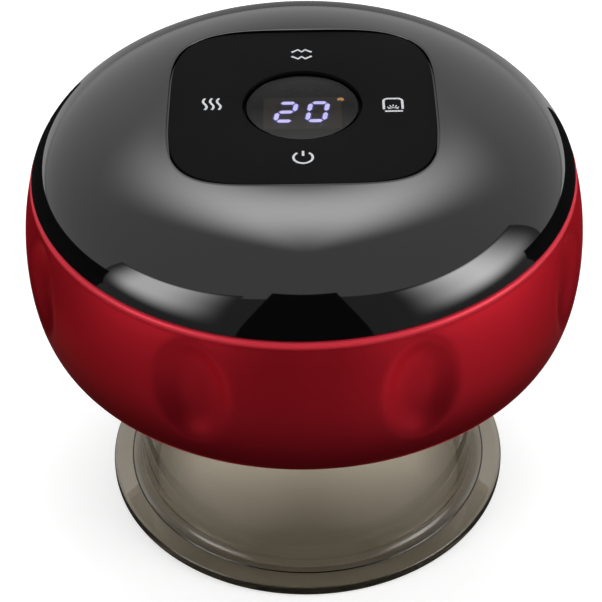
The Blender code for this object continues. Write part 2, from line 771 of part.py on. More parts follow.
def make_display_window():
    edge = LENS_THICKNESS / 4
    outline = [
        (0, LENS_BOTTOM),
        (LENS_RADIUS, LENS_BOTTOM),
        (LENS_RADIUS, LENS_TOP - edge),
        (LENS_RADIUS - edge, LENS_TOP),
        (0, LENS_TOP),
    ]
    add_object("display_window", turned("display_window", outline, SEAT_STEPS), "smoked_window")


def make_base_cover():
    outline = [
        (0, BASE_TOP),
        (BASE_RADIUS, BASE_TOP),
        (BASE_RADIUS, BASE_BOTTOM),
        (SPIGOT_RADIUS, BASE_BOTTOM),
        (SPIGOT_RADIUS, SEAL_LEVEL + GROOVE_HALF),
        (GROOVE_RADIUS, SEAL_LEVEL + GROOVE_HALF),
        (GROOVE_RADIUS, SEAL_LEVEL - GROOVE_HALF),
        (SPIGOT_RADIUS, SEAL_LEVEL - GROOVE_HALF),
        (SPIGOT_RADIUS, SPIGOT_BOTTOM),
        (SEAT_RADIUS, SPIGOT_BOTTOM),
        (SEAT_RADIUS, WINDOW_LEDGE),
        (SPIGOT_BORE, WINDOW_LEDGE),
        (SPIGOT_BORE, BASE_BOTTOM),
        (CHAMBER_OUTER, BASE_BOTTOM),
        (CHAMBER_OUTER, WINDOW_BOTTOM),
        (CHAMBER_RADIUS, WINDOW_BOTTOM),
        (CHAMBER_RADIUS, BASE_BOTTOM),
        (0, BASE_BOTTOM),
    ]
    base = add_object("base_cover", turned("base_cover", outline, SHELL_STEPS), "base_black")
    nipple_places = [(NIPPLE_PITCH * step, 0) for step in (-1, 0, 1)]
    sunk = BASE_BOTTOM + BASE_THICKNESS / 2
    nipple_top = HOSE_START + BASE_NIPPLE_LENGTH
    nipples = rods("base_nipples", nipple_places, NIPPLE_RADIUS, sunk, nipple_top, HOSE_SIDES)
    combine(base, guide("base_nipples", nipples), "UNION")
    standoffs = rods("standoffs", standoff_places(), STANDOFF_RADIUS, sunk, CHARGE_BOARD_BOTTOM - GAP)
    combine(base, guide("standoffs", standoffs), "UNION")
    low = BASE_BOTTOM - OVERRUN
    bores = rods("nipple_bores", nipple_places, NIPPLE_BORE, low, nipple_top + OVERRUN, HOSE_SIDES)
    combine(base, guide("nipple_bores", bores), "DIFFERENCE")
    holes = rods("screw_holes", post_places(), BASE_SCREW_SHANK + GAP, low, BASE_TOP + OVERRUN)
    combine(base, guide("screw_holes", holes), "DIFFERENCE")
    sinks = rods("head_sinks", post_places(), BASE_SCREW_HEAD + GAP, low, BASE_BOTTOM + HEAD_ROOM)
    combine(base, guide("head_sinks", sinks), "DIFFERENCE")
    wire_hole = rods("wire_hole", [(-LAMP_WIRE_X, 0)], WIRE_RADIUS + GAP, low, BASE_TOP + OVERRUN)
    combine(base, guide("wire_hole", wire_hole), "DIFFERENCE")


def make_suction_cup():
    fillet = []
    for step in range(4):
        angle = pi / 2 * step / 3
        fillet.append(
            (
                CUP_RADIUS + CUP_FILLET * (1 - sin(angle)),
                CUP_RIM_THICKNESS + CUP_FILLET * (1 - cos(angle)),
            )
        )
    outline = [
        (CUP_BORE + CUP_FLARE, 0),
        (CUP_RIM_RADIUS - CUP_EDGE, 0),
        (CUP_RIM_RADIUS, CUP_EDGE),
        (CUP_RIM_RADIUS, CUP_RIM_THICKNESS - CUP_EDGE),
        (CUP_RIM_RADIUS - CUP_EDGE, CUP_RIM_THICKNESS),
        *fillet,
        (CUP_RADIUS, CUP_HEIGHT - CUP_EDGE),
        (CUP_RADIUS - CUP_EDGE, CUP_HEIGHT),
        (CUP_BORE + CUP_EDGE, CUP_HEIGHT),
        (CUP_BORE, CUP_HEIGHT - CUP_EDGE),
        (CUP_BORE, CUP_FLARE),
    ]
    add_object("suction_cup", turned("suction_cup", outline, SHELL_STEPS), "cup_smoke")


def make_cup_seal():
    half = SEAL_THICKNESS / 2
    outline = [
        (SEAL_CENTRE + half * cos(2 * pi * step / 6), SEAL_LEVEL + half * sin(2 * pi * step / 6))
        for step in range(6)
    ]
    add_object("cup_seal", turned("cup_seal", outline, SEAT_STEPS), "seal_rubber")


def make_light_parts():
    window = tube_outline(CHAMBER_OUTER + GAP, SEAT_RADIUS - GAP, WINDOW_BOTTOM, WINDOW_TOP)
    add_object("light_window", turned("light_window", window, SEAT_STEPS), "window_clear")
    board = tube_outline(LAMP_BOARD_INNER, LAMP_BOARD_OUTER, LAMP_BOARD_BOTTOM, LAMP_BOARD_TOP)
    add_object("lamp_board", turned("lamp_board", board, SEAT_STEPS), "board_green")
    top = LAMP_BOARD_BOTTOM - GAP
    shoulder = top - LAMP_HEIGHT + LAMP_RADIUS
    outline = [(0, top), (LAMP_RADIUS, top)]
    for step in range(3):
        angle = pi / 2 * step / 3
        outline.append((LAMP_RADIUS * cos(angle), shoulder - LAMP_RADIUS * sin(angle)))
    outline.append((0, shoulder - LAMP_RADIUS))
    lamp = turned("heat_lamp", outline, ROD_STEPS)
    lamp.materials.append(material("lamp_red"))
    for number, (x, y) in enumerate(circle_places(LAMP_COUNT, LAMP_CIRCLE, pi / LAMP_COUNT), 1):
        add_object(f"heat_lamp_{number}", lamp, location=(x, y, 0))


def make_filter():
    plug = CHAMBER_RADIUS - GAP
    outline = [
        (0, SPIGOT_BOTTOM),
        (CHAMBER_OUTER + CAP_REACH, SPIGOT_BOTTOM),
        (CHAMBER_OUTER + CAP_REACH, CAP_TOP),
        (plug, CAP_TOP),
        (plug, CAP_TOP + CAP_PLUG),
        (0, CAP_TOP + CAP_PLUG),
    ]
    cap = add_object("filter_cap", turned("filter_cap", outline), "base_black")
    places = [(0, 0), *circle_places(CAP_HOLE_COUNT, plug / 2)]
    holes = rods("cap_holes", places, CAP_HOLE, SPIGOT_BOTTOM - OVERRUN, CAP_TOP + CAP_PLUG + OVERRUN, 6)
    combine(cap, guide("cap_holes", holes), "DIFFERENCE")
    low = CAP_TOP + CAP_PLUG + GAP
    pad = turned("air_filter", rod_outline(plug, low, low + FILTER_THICKNESS))
    add_object("air_filter", pad, "filter_felt")


def screw_mesh(name, shank, head, head_height, length):
    """A screw standing on its head, with a cross recess in the head's underside."""
    outline = [(0, 0), (head, 0), (head, head_height), (shank, head_height), (shank, length), (0, length)]
    return turned(name, outline, ROD_STEPS)


def cross_cutter(name, head, head_height):
    arm = head * SCREW_CROSS_SHARE
    half = head * SCREW_SLOT_SHARE
    corners = [(arm, -half), (arm, half), (half, half), (half, arm)]
    outline = []
    for quarter in range(4):
        turn = Matrix.Rotation(pi / 2 * quarter, 2)
        outline += [turn @ Vector(corner) for corner in corners[1:]]
    depth = head_height / 2
    return prism(name, [(x, y, -depth) for x, y in outline], (0, 0, 2 * depth))


def place_screws(kind, places, level, sizes):
    """Screws that point up, their heads' undersides at one level."""
    mesh = screw_mesh(kind, *sizes)
    mesh.materials.append(material("spring_steel"))
    cross = cross_cutter(f"{kind}_cross", sizes[1], sizes[2])
    for number, (x, y) in enumerate(places, 1):
        screw = add_object(f"{kind}_{number}", mesh, location=(x, y, level))
        cutter = guide(f"{kind}_cross_{number}", cross, parent=screw)
        combine(screw, cutter, "DIFFERENCE")


def make_screws():
    base_sizes = (BASE_SCREW_SHANK, BASE_SCREW_HEAD, BASE_SCREW_HEAD_HEIGHT, BASE_SCREW_LENGTH)
    place_screws("base_screw", post_places(), BASE_BOTTOM, base_sizes)
    board_sizes = (BOARD_SCREW_SHANK, BOARD_SCREW_HEAD, BOARD_SCREW_HEAD_HEIGHT, BOARD_SCREW_LENGTH)
    place_screws("board_screw", boss_places(), BOARD_BOTTOM - GAP - BOARD_SCREW_HEAD_HEIGHT, board_sizes)


def make_main_board():
    outline = rod_outline(BOARD_RADIUS, BOARD_BOTTOM, BOARD_TOP)
    board = add_object("main_board", turned("main_board", outline, SEAT_STEPS), "board_green")
    low = BOARD_BOTTOM - OVERRUN
    high = BOARD_TOP + OVERRUN
    holes = rods("board_holes", boss_places(), BOARD_SCREW_SHANK + GAP, low, high)
    combine(board, guide("board_holes", holes), "DIFFERENCE")


def make_board_parts():
    low = BOARD_TOP + GAP
    half_width = DISPLAY_WIDTH / 2
    half_depth = DISPLAY_DEPTH / 2
    top = LENS_BOTTOM - DISPLAY_DROP
    module = block("display_module", (-half_width, -half_depth, low), (half_width, half_depth, top))
    add_object("display_module", module, "chip_black")
    half = CHIP_SIDE / 2
    chip = block("control_chip", (-half, -half, low), (half, half, low + CHIP_HEIGHT))
    add_object("control_chip", chip, "chip_black", location=(CHIP_PLACE_X, -CHIP_PLACE_Y, 0))
    high = low + BUZZER_HEIGHT
    outline = [(0, low), (BUZZER_RADIUS, low), (BUZZER_RADIUS, high), (BUZZER_HOLE, high)]
    outline += [(BUZZER_HOLE, (low + high) / 2), (0, (low + high) / 2)]
    buzzer = turned("buzzer", outline, ROD_STEPS)
    add_object("buzzer", buzzer, "chip_black", location=(-CHIP_PLACE_X, -CHIP_PLACE_Y, 0))
    for number, (x, y) in enumerate(circle_places(4, TOUCH_PLACE), 1):
        bottom = low + TOUCH_WIRE
        path = helix(x, y, bottom, COVER_CEILING - GAP - TOUCH_WIRE, TOUCH_RADIUS, TOUCH_TURNS)
        wire(f"touch_spring_{number}", path, TOUCH_WIRE, "spring_steel", resolution=0)


def make_pressure_sensor():
    top = BOARD_BOTTOM - GAP
    bottom = top - SENSOR_HEIGHT
    half = SENSOR_SIDE / 2
    body = block("pressure_sensor", (-half, -half, bottom), (half, half, top))
    sensor = add_object("pressure_sensor", body, "nylon_white", location=(-NIPPLE_PITCH, 0, 0))
    sunk = bottom + SENSOR_HEIGHT / 2
    nipple = rods("sensor_nipple", [(0, 0)], NIPPLE_RADIUS, bottom - NIPPLE_LENGTH, sunk, HOSE_SIDES)
    combine(sensor, guide("sensor_nipple", nipple, parent=sensor), "UNION")
    bore = rods("sensor_bore", [(0, 0)], NIPPLE_BORE, bottom - NIPPLE_LENGTH - OVERRUN, bottom, HOSE_SIDES)
    combine(sensor, guide("sensor_bore", bore, parent=sensor), "DIFFERENCE")


def make_hoses():
    sensor_end = BOARD_BOTTOM - GAP - SENSOR_HEIGHT - GAP
    runs = {
        "sensor_hose": [(-NIPPLE_PITCH, 0, HOSE_START), (-NIPPLE_PITCH, 0, sensor_end)],
        "pump_hose": [
            (0, 0, HOSE_START),
            (0, 0, HOSE_LEVEL),
            (TURN_X, 0, HOSE_LEVEL),
            (TURN_X, INLET_Y, HOSE_LEVEL),
            (PUMP_FRONT_X + GAP, INLET_Y, HOSE_LEVEL),
        ],
        "valve_hose": [
            (NIPPLE_PITCH, 0, HOSE_START),
            (NIPPLE_PITCH, 0, VALVE_PORT),
            (VALVE_X - VALVE_WIDTH / 2 - GAP, 0, VALVE_PORT),
        ],
    }
    for name, corners in runs.items():
        add_object(name, hose_mesh(name, rounded_path(corners, HOSE_BEND)), "silicone_clear")


def cradle(name, low, high, axis_z, radius, finish):
    """A block with a round trough along X for a cylinder lying on its floor."""
    obj = add_object(name, block(name, low, high), finish)
    middle_y = (low[1] + high[1]) / 2
    bm = turned_bmesh(rod_outline(radius + GAP, low[0] - OVERRUN, high[0] + OVERRUN), SHELL_STEPS)
    bmesh.ops.rotate(bm, verts=bm.verts, cent=(0, 0, 0), matrix=Matrix.Rotation(pi / 2, 3, "Y"))
    bmesh.ops.translate(bm, verts=bm.verts, vec=(0, middle_y, axis_z))
    combine(obj, guide(f"{name}_trough", finished(f"{name}_trough", bm)), "DIFFERENCE")


def make_battery():
    half = BATTERY_LENGTH / 2
    edge = BATTERY_EDGE
    outline = [
        (0, -half),
        (BATTERY_RADIUS - edge, -half),
        (BATTERY_RADIUS, edge - half),
        (BATTERY_RADIUS, half - edge),
        (BATTERY_RADIUS - edge, half),
        (BATTERY_BUTTON, half),
        (BATTERY_BUTTON, half + BATTERY_BUTTON_HEIGHT),
        (0, half + BATTERY_BUTTON_HEIGHT),
    ]
    mesh = turned("battery_cell", outline)
    add_object("battery_cell", mesh, "cell_wrap", location=(0, BATTERY_Y, BATTERY_Z), rotation=(0, pi / 2, 0))
    low = (-CRADLE_LENGTH / 2, BATTERY_Y - CRADLE_WIDTH / 2, BASE_TOP + GAP)
    high = (CRADLE_LENGTH / 2, BATTERY_Y + CRADLE_WIDTH / 2, BASE_TOP + GAP + CRADLE_RISE)
    cradle("battery_cradle", low, high, BATTERY_Z, BATTERY_RADIUS, "nylon_white")


def make_motor(axis):
    bearing = SHAFT_RADIUS + GAP
    can = [
        (bearing, 0),
        (PUMP_RADIUS, 0),
        (PUMP_RADIUS, MOTOR_LENGTH),
        (CAN_BORE, MOTOR_LENGTH),
        (CAN_BORE, MOTOR_WALL),
        (bearing, MOTOR_WALL),
    ]
    add_object("motor_can", turned("motor_can", can), "can_steel", parent=axis)
    cap_start = MOTOR_LENGTH - MOTOR_CAP_THICKNESS
    cap = tube_outline(bearing, CAN_BORE - GAP, cap_start, MOTOR_LENGTH)
    add_object("motor_cap", turned("motor_cap", cap), "nylon_white", parent=axis)
    magnet_start = (cap_start + MOTOR_WALL - MAGNET_LENGTH) / 2
    magnet_inner = CAN_BORE - GAP - MAGNET_THICKNESS
    magnet = tube_outline(magnet_inner, CAN_BORE - GAP, magnet_start, magnet_start + MAGNET_LENGTH)
    add_object("motor_magnet", turned("motor_magnet", magnet), "magnet_grey", parent=axis)
    core_start = magnet_start + (MAGNET_LENGTH - ROTOR_LENGTH) / 2
    core_end = core_start + ROTOR_LENGTH
    commutator_end = core_end + COMMUTATOR_LENGTH
    rotor = [
        (0, 0),
        (SHAFT_RADIUS, 0),
        (SHAFT_RADIUS, core_start),
        (magnet_inner - ROTOR_GAP, core_start),
        (magnet_inner - ROTOR_GAP, core_end),
        (COMMUTATOR_RADIUS, core_end),
        (COMMUTATOR_RADIUS, commutator_end),
        (SHAFT_RADIUS, commutator_end),
        (SHAFT_RADIUS, ECCENTRIC_START + SHAFT_GRIP - GAP),
        (0, ECCENTRIC_START + SHAFT_GRIP - GAP),
    ]
    add_object("motor_rotor", turned("motor_rotor", rotor, ROD_STEPS), "coil_copper", parent=axis)


def make_pump_drive(axis):
    """The eccentric on the motor's shaft and the plate that its slanted pin makes wobble."""
    tilt = radians(WOBBLE_TILT)
    bore = SHAFT_RADIUS + GAP
    outline = [
        (0, ECCENTRIC_START + SHAFT_GRIP),
        (bore, ECCENTRIC_START + SHAFT_GRIP),
        (bore, ECCENTRIC_START),
        (ECCENTRIC_RADIUS, ECCENTRIC_START),
        (ECCENTRIC_RADIUS, ECCENTRIC_END),
        (0, ECCENTRIC_END),
    ]
    bm = turned_bmesh(outline, ROD_STEPS)
    eccentric = add_object("drive_eccentric", finished("drive_eccentric", bm), "nylon_white", parent=axis)
    slant = bpy.data.objects.new("slant_axis", None)
    bpy.context.scene.collection.objects.link(slant)
    slant.parent = axis
    slant.location = (0, 0, WOBBLE_STATION)
    slant.rotation_euler = (0, tilt, 0)
    pin_back = ECCENTRIC_END - ECCENTRIC_LENGTH / 4 - WOBBLE_STATION
    pin_front = WOBBLE_THICKNESS / 2 + WOBBLE_HUB_LENGTH
    pin = rods("drive_pin", [(0, 0)], PIN_RADIUS, pin_back, pin_front, 12)
    combine(eccentric, guide("drive_pin", pin, parent=slant), "UNION")
    half = WOBBLE_THICKNESS / 2
    plate = [
        (PIN_RADIUS + GAP, -half),
        (WOBBLE_RADIUS, -half),
        (WOBBLE_RADIUS, half),
        (WOBBLE_HUB, half),
        (WOBBLE_HUB, half + WOBBLE_HUB_LENGTH),
        (PIN_RADIUS + GAP, half + WOBBLE_HUB_LENGTH),
    ]
    add_object("wobble_plate", turned("wobble_plate", plate, 24), "nylon_white", parent=slant)


def make_pump_head(axis):
    housing = [
        (HOUSING_HOLE, HOUSING_START),
        (PUMP_RADIUS, HOUSING_START),
        (PUMP_RADIUS, HOUSING_END),
        (PUMP_RADIUS - HOUSING_WALL, HOUSING_END),
        (PUMP_RADIUS - HOUSING_WALL, HOUSING_START + HOUSING_WALL),
        (HOUSING_HOLE, HOUSING_START + HOUSING_WALL),
    ]
    add_object("pump_housing", turned("pump_housing", housing), "chip_black", parent=axis)
    diaphragm = rod_outline(PUMP_RADIUS, DIAPHRAGM_START, DIAPHRAGM_START + DIAPHRAGM_THICKNESS)
    add_object("pump_diaphragm", turned("pump_diaphragm", diaphragm), "seal_rubber", parent=axis)
    plate_end = VALVE_PLATE_START + VALVE_PLATE_THICKNESS
    plate = turned("pump_valve_plate", rod_outline(PUMP_RADIUS, VALVE_PLATE_START, plate_end))
    plate = add_object("pump_valve_plate", plate, "chip_black", parent=axis)
    places = circle_places(PORT_COUNT, PORT_CIRCLE)
    ports = rods("plate_ports", places, PORT_RADIUS, VALVE_PLATE_START - OVERRUN, plate_end + OVERRUN, 8)
    combine(plate, guide("plate_ports", ports, parent=axis), "DIFFERENCE")
    outline = [
        (0, HEAD_START + HEAD_RECESS),
        (PUMP_RADIUS - HEAD_WALL, HEAD_START + HEAD_RECESS),
        (PUMP_RADIUS - HEAD_WALL, HEAD_START),
        (PUMP_RADIUS, HEAD_START),
        (PUMP_RADIUS, HEAD_END),
        (0, HEAD_END),
    ]
    head = add_object("pump_head", turned("pump_head", outline), "chip_black", parent=axis)
    sunk = HEAD_END - HEAD_THICKNESS / 4
    spouts = {"inlet": (NOZZLE_OFFSET, NIPPLE_LENGTH), "outlet": (-NOZZLE_OFFSET, OUTLET_LENGTH)}
    for name, (side, length) in spouts.items():
        place = [(-NOZZLE_RISE, side)]
        spout = rods(f"{name}_nozzle", place, NIPPLE_RADIUS, sunk, HEAD_END + length, HOSE_SIDES)
        combine(head, guide(f"{name}_nozzle", spout, parent=axis), "UNION")
        high = HEAD_END + length + OVERRUN
        bore = rods(f"{name}_bore", place, NIPPLE_BORE, HEAD_START, high, HOSE_SIDES)
        combine(head, guide(f"{name}_bore", bore, parent=axis), "DIFFERENCE")


def make_pump():
    axis = bpy.data.objects.new("pump_axis", None)
    bpy.context.scene.collection.objects.link(axis)
    axis.location = (PUMP_BACK_X, PUMP_Y, PUMP_Z)
    axis.rotation_euler = (0, pi / 2, 0)
    make_motor(axis)
    make_pump_drive(axis)
    make_pump_head(axis)
    start = PUMP_BACK_X + MOUNT_START
    low = (start, PUMP_Y - MOUNT_WIDTH / 2, BASE_TOP + GAP)
    high = (start + MOUNT_LENGTH, PUMP_Y + MOUNT_WIDTH / 2, BASE_TOP + GAP + MOUNT_RISE)
    cradle("pump_mount", low, high, PUMP_Z, PUMP_RADIUS, "seal_rubber")


def make_release_valve():
    half_width = VALVE_WIDTH / 2
    half_depth = VALVE_DEPTH / 2
    place = (VALVE_X, VALVE_Y, 0)
    low = (-half_width, -half_depth, VALVE_BOTTOM)
    body = block("valve_body", low, (half_width, half_depth, VALVE_TOP))
    body = add_object("valve_body", body, "nylon_white", location=place)
    nipple = turned("valve_nipple", rod_outline(NIPPLE_RADIUS, 0, half_width + NIPPLE_LENGTH), HOSE_SIDES)
    nipple = guide("valve_nipple", nipple, parent=body)
    bore = turned("valve_bore", rod_outline(NIPPLE_BORE, 0, half_width + NIPPLE_LENGTH + OVERRUN), HOSE_SIDES)
    bore = guide("valve_bore", bore, parent=body)
    for port in (nipple, bore):
        port.location = (0, VALVE_SHIFT, VALVE_PORT)
        port.rotation_euler = (0, -pi / 2, 0)
    combine(body, nipple, "UNION")
    combine(body, bore, "DIFFERENCE")
    low = VALVE_PORT - NIPPLE_BORE
    drill = block("orifice_run", (-NIPPLE_BORE, 0, low), (NIPPLE_BORE, VALVE_SHIFT, VALVE_PORT))
    combine(body, guide("orifice_run", drill, parent=body), "DIFFERENCE")
    orifice = rods("orifice", [(0, 0)], ORIFICE_RADIUS, low, VALVE_TOP + OVERRUN, 8)
    combine(body, guide("orifice", orifice, parent=body), "DIFFERENCE")
    yoke_low = VALVE_TOP + GAP
    outline = [
        (-half_width, yoke_low),
        (-half_width, YOKE_TOP),
        (half_width, YOKE_TOP),
        (half_width, yoke_low),
        (half_width - YOKE_PLATE, yoke_low),
        (half_width - YOKE_PLATE, YOKE_UNDERSIDE),
        (YOKE_PLATE - half_width, YOKE_UNDERSIDE),
        (YOKE_PLATE - half_width, yoke_low),
    ]
    yoke = prism("valve_yoke", [(x, -YOKE_DEPTH / 2, z) for x, z in outline], (0, YOKE_DEPTH, 0))
    yoke = add_object("valve_yoke", yoke, "can_steel", location=place)
    core = rods("valve_core", [(0, 0)], CORE_RADIUS, CORE_BOTTOM, (YOKE_UNDERSIDE + YOKE_TOP) / 2, 12)
    combine(yoke, guide("valve_core", core, parent=yoke), "UNION")
    coil_radius = half_width - YOKE_PLATE - COIL_ROOM
    coil = tube_outline(CORE_RADIUS + CORE_FIT, coil_radius, COIL_BOTTOM, COIL_TOP)
    add_object("valve_coil", turned("valve_coil", coil, 24), "coil_copper", location=place)
    shoulder = PLUNGER_BOTTOM + PLUNGER_HEAD_HEIGHT
    plunger_top = CORE_BOTTOM - PLUNGER_STROKE - GAP
    outline = [(0, PLUNGER_BOTTOM), (PLUNGER_HEAD, PLUNGER_BOTTOM), (PLUNGER_HEAD, shoulder)]
    outline += [(CORE_RADIUS, shoulder), (CORE_RADIUS, plunger_top), (0, plunger_top)]
    add_object("valve_plunger", turned("valve_plunger", outline, ROD_STEPS), "can_steel", location=place)
    path = helix(0, 0, SPRING_BOTTOM + SPRING_WIRE, SPRING_TOP - SPRING_WIRE, SPRING_RADIUS, SPRING_TURNS)
    spring = wire("valve_spring", path, SPRING_WIRE, "spring_steel", resolution=0)
    spring.location = place


def make_charging_port():
    mouth = port_radius() - SOCKET_RECESS
    back = mouth - SOCKET_LENGTH
    shell = prism("usb_socket", rounded_slot(SOCKET_WIDTH, SOCKET_HEIGHT, back), (0, SOCKET_LENGTH, 0))
    socket = add_object("usb_socket", shell, "can_steel")
    width = SOCKET_WIDTH - 2 * SOCKET_WALL
    height = SOCKET_HEIGHT - 2 * SOCKET_WALL
    hollow = prism("socket_hollow", rounded_slot(width, height, back + SOCKET_BACK), (0, SOCKET_LENGTH, 0))
    combine(socket, guide("socket_hollow", hollow), "DIFFERENCE")
    half_width = TONGUE_WIDTH / 2
    half = TONGUE_THICKNESS / 2
    sunk = back + SOCKET_BACK / 2
    tip = back + SOCKET_BACK + TONGUE_LENGTH
    low = (-half_width, sunk, PORT_LEVEL - half)
    tongue = block("socket_tongue", low, (half_width, tip, PORT_LEVEL + half))
    combine(socket, guide("socket_tongue", tongue), "UNION")
    front = charge_board_front()
    low = (-CHARGE_BOARD_WIDTH / 2, front - CHARGE_BOARD_DEPTH, CHARGE_BOARD_BOTTOM)
    board = block("charge_board", low, (CHARGE_BOARD_WIDTH / 2, front, CHARGE_BOARD_TOP))
    add_object("charge_board", board, "board_green")


def make_wires():
    board = BOARD_BOTTOM - GAP
    end = BATTERY_LENGTH / 2 + BATTERY_BUTTON_HEIGHT + GAP
    battery = [
        (end, BATTERY_Y, BATTERY_Z),
        (end + WIRE_REACH, BATTERY_Y, BATTERY_Z + WIRE_REACH),
        (end + WIRE_REACH, BATTERY_Y, (BATTERY_Z + board) / 2),
        (end, BATTERY_Y, board),
    ]
    wire("battery_wire", smooth_points(battery), WIRE_RADIUS, "wire_red")
    back = PUMP_BACK_X - GAP
    terminal = PUMP_RADIUS / 2
    motor = [
        (back, PUMP_Y + terminal, PUMP_Z),
        (back - WIRE_REACH, PUMP_Y + terminal, PUMP_Z + WIRE_REACH),
        (back - WIRE_REACH, PUMP_Y + terminal, (PUMP_Z + board) / 2),
        (back, PUMP_Y + terminal, board),
    ]
    wire("motor_wire", smooth_points(motor), WIRE_RADIUS, "wire_red")
    lamp = [(-LAMP_WIRE_X, 0, LAMP_BOARD_TOP + GAP), (-LAMP_WIRE_X, 0, board)]
    wire("lamp_wire", lamp, WIRE_RADIUS, "wire_red")


def main():
    clear_scene()
    make_suction_cup()
    make_cup_seal()
    make_base_cover()
    make_light_parts()
    make_filter()
    make_grip_ring()
    make_top_cover()
    make_control_panel()
    make_display_window()
    make_screws()
    make_main_board()
    make_board_parts()
    make_pressure_sensor()
    make_hoses()
    make_battery()
    make_pump()
    make_release_valve()
    make_charging_port()
    make_wires()


main()
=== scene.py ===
"""Dresses the electric cupping massager: its shells, panel, display and cup, and the studio round it.

Metres, +Z up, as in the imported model. The front, from which the display reads upright, is at -Y.
"""

import json
from fnmatch import fnmatch
from math import cos, hypot, pi, radians, sin, tan

import bmesh
import bpy
from bpy.props import FloatProperty, FloatVectorProperty, IntProperty, PointerProperty
from mathutils import Matrix, Vector

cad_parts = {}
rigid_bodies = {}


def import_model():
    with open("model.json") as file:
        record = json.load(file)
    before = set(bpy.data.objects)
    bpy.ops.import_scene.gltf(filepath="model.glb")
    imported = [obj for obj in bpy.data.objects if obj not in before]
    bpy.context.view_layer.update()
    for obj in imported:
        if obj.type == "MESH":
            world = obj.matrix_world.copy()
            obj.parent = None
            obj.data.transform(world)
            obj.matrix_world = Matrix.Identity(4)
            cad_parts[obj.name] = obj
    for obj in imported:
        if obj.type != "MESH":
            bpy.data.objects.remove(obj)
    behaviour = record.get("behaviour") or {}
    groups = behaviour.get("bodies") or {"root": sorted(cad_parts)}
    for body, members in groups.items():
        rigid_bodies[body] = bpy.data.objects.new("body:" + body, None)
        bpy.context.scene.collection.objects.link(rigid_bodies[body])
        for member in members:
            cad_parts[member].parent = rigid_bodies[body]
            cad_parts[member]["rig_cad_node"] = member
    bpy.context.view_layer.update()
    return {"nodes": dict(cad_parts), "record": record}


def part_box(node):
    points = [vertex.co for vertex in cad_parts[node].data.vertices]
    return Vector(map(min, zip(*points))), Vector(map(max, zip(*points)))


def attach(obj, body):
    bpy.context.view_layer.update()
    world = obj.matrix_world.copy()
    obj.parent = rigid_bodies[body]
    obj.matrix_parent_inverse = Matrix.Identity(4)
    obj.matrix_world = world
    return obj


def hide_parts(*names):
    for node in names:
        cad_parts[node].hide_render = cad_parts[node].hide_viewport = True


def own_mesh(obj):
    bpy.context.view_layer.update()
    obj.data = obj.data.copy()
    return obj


bl_info = {
    "name": "Cupping Massager Finish",
    "version": (1, 0, 0),
    "blender": (4, 5, 0),
    "location": "3D View > Sidebar > Massager",
    "description": "Models and finishes the visible pieces of an electric cupping massager over its solids",
    "category": "Object",
}

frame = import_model()
NODES = frame["nodes"]
BODY_OF = {node: body for body, nodes in frame["record"]["behaviour"]["bodies"].items() for node in nodes}

# Corners and levels that the solids give
RING_LOW, RING_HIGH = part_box("grip_ring")
PANEL_LOW, PANEL_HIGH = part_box("control_panel")
LENS_LOW, LENS_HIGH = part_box("display_window")
MODULE_LOW, MODULE_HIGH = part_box("display_module")
SOCKET_LOW, SOCKET_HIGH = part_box("usb_socket")
CUP_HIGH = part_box("suction_cup")[1]
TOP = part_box("top_cover")[1].z
SEAM = RING_HIGH.z

# Fits and facets
GAP = 0.0003
WELD = 0.0000002
SHELL_POINTS = 240
RING_POINTS = 360
CUP_POINTS = 192
ROUND_POINTS = 128
SLOT_POINTS = 48
POCKET_STEPS = 4
DOME_STEPS = 44
CEILING_STEPS = 20
RING_STEPS = 56
CROWN_STEPS = 6

# Dome and its pocket for the panel and the window
BODY_RADIUS = RING_HIGH.x
SHELL_WALL = 0.0022
DOME_FLAT = 0.022
DOME_SHARES = ((0.0, 1.0), (0.3232, 1.0), (0.8939, 0.6905), (1.0, 0.0))
DOME_BOTTOM = SEAM + GAP
CEILING = TOP - SHELL_WALL
COVER_LIP = 0.0015
COVER_LIP_DEPTH = 0.0025
LENS_BORE = LENS_HIGH.x + 2 * GAP
LEDGE_TOP = LENS_LOW.z - GAP
LEDGE_THICKNESS = 0.0012
LEDGE_WALL = 0.0022
SIGHT_RADIUS = LENS_HIGH.x - 0.0010
POCKET_FLOOR = PANEL_LOW.z - GAP
PANEL_TRIM = 0.00018
PANEL_EDGE = 0.00012

# Grip ring: its outline, parting groove, inward lip with a flange and charging port, and where its painted
# shade and the painted highlight on its upper edge lie
RING_SHARES = ((0.9555, 1.0), (1.0232, 0.6556), (1.0125, 0.078), (0.931, 0.0))
RING_HEIGHT = RING_HIGH.z - RING_LOW.z
SEAM_RADIUS = BODY_RADIUS * RING_SHARES[0][0]
EDGE_BAND = 0.0010
GROOVE_LEVEL = RING_LOW.z + 0.0013
GROOVE_REACH = 0.00016
GROOVE_FLOOR = 0.00006
GROOVE_ROOM = 0.0002
LIP_BORE = BODY_RADIUS * RING_SHARES[-1][0] - 0.0013
FLANGE_LOW = RING_LOW.z + 0.0019 + GAP
FLANGE = 0.0015
DIMPLE_LEVEL = RING_LOW.z + RING_HEIGHT * 0.583
PORT_FLARE = 0.00035
PORT_RECESS = 0.0010
PORT_SPARE = 0.0010
RING_SHADE_HEIGHTS = (SEAM - 0.023, SEAM - 0.005)
EDGE_HIGHLIGHT_HEIGHTS = (SEAM - EDGE_BAND, SEAM - EDGE_BAND * 0.4)

# Display: its block, how its digits lie, the glow round a lit segment, and the dot beside the digits
BLOCK_ROUND = 0.0001
FACE_INSET = 0.0005
FACE_DEPTH = 0.00015
DIGIT_RISE = 0.00045
DIGIT_SHIFT = -0.0001
DIGIT_GAP = 0.00042
SEGMENT_THICKNESS = 0.0001
HEXAGON_SIDE = 0.433
HALO_DROP = 0.00004
HALO_SWELL = 0.00022
DOT_RADIUS = 0.00055
DOT_PLACE = (0.0061, 0.0037)
DOT_SHAPE = (1, 0.8, 0.3)

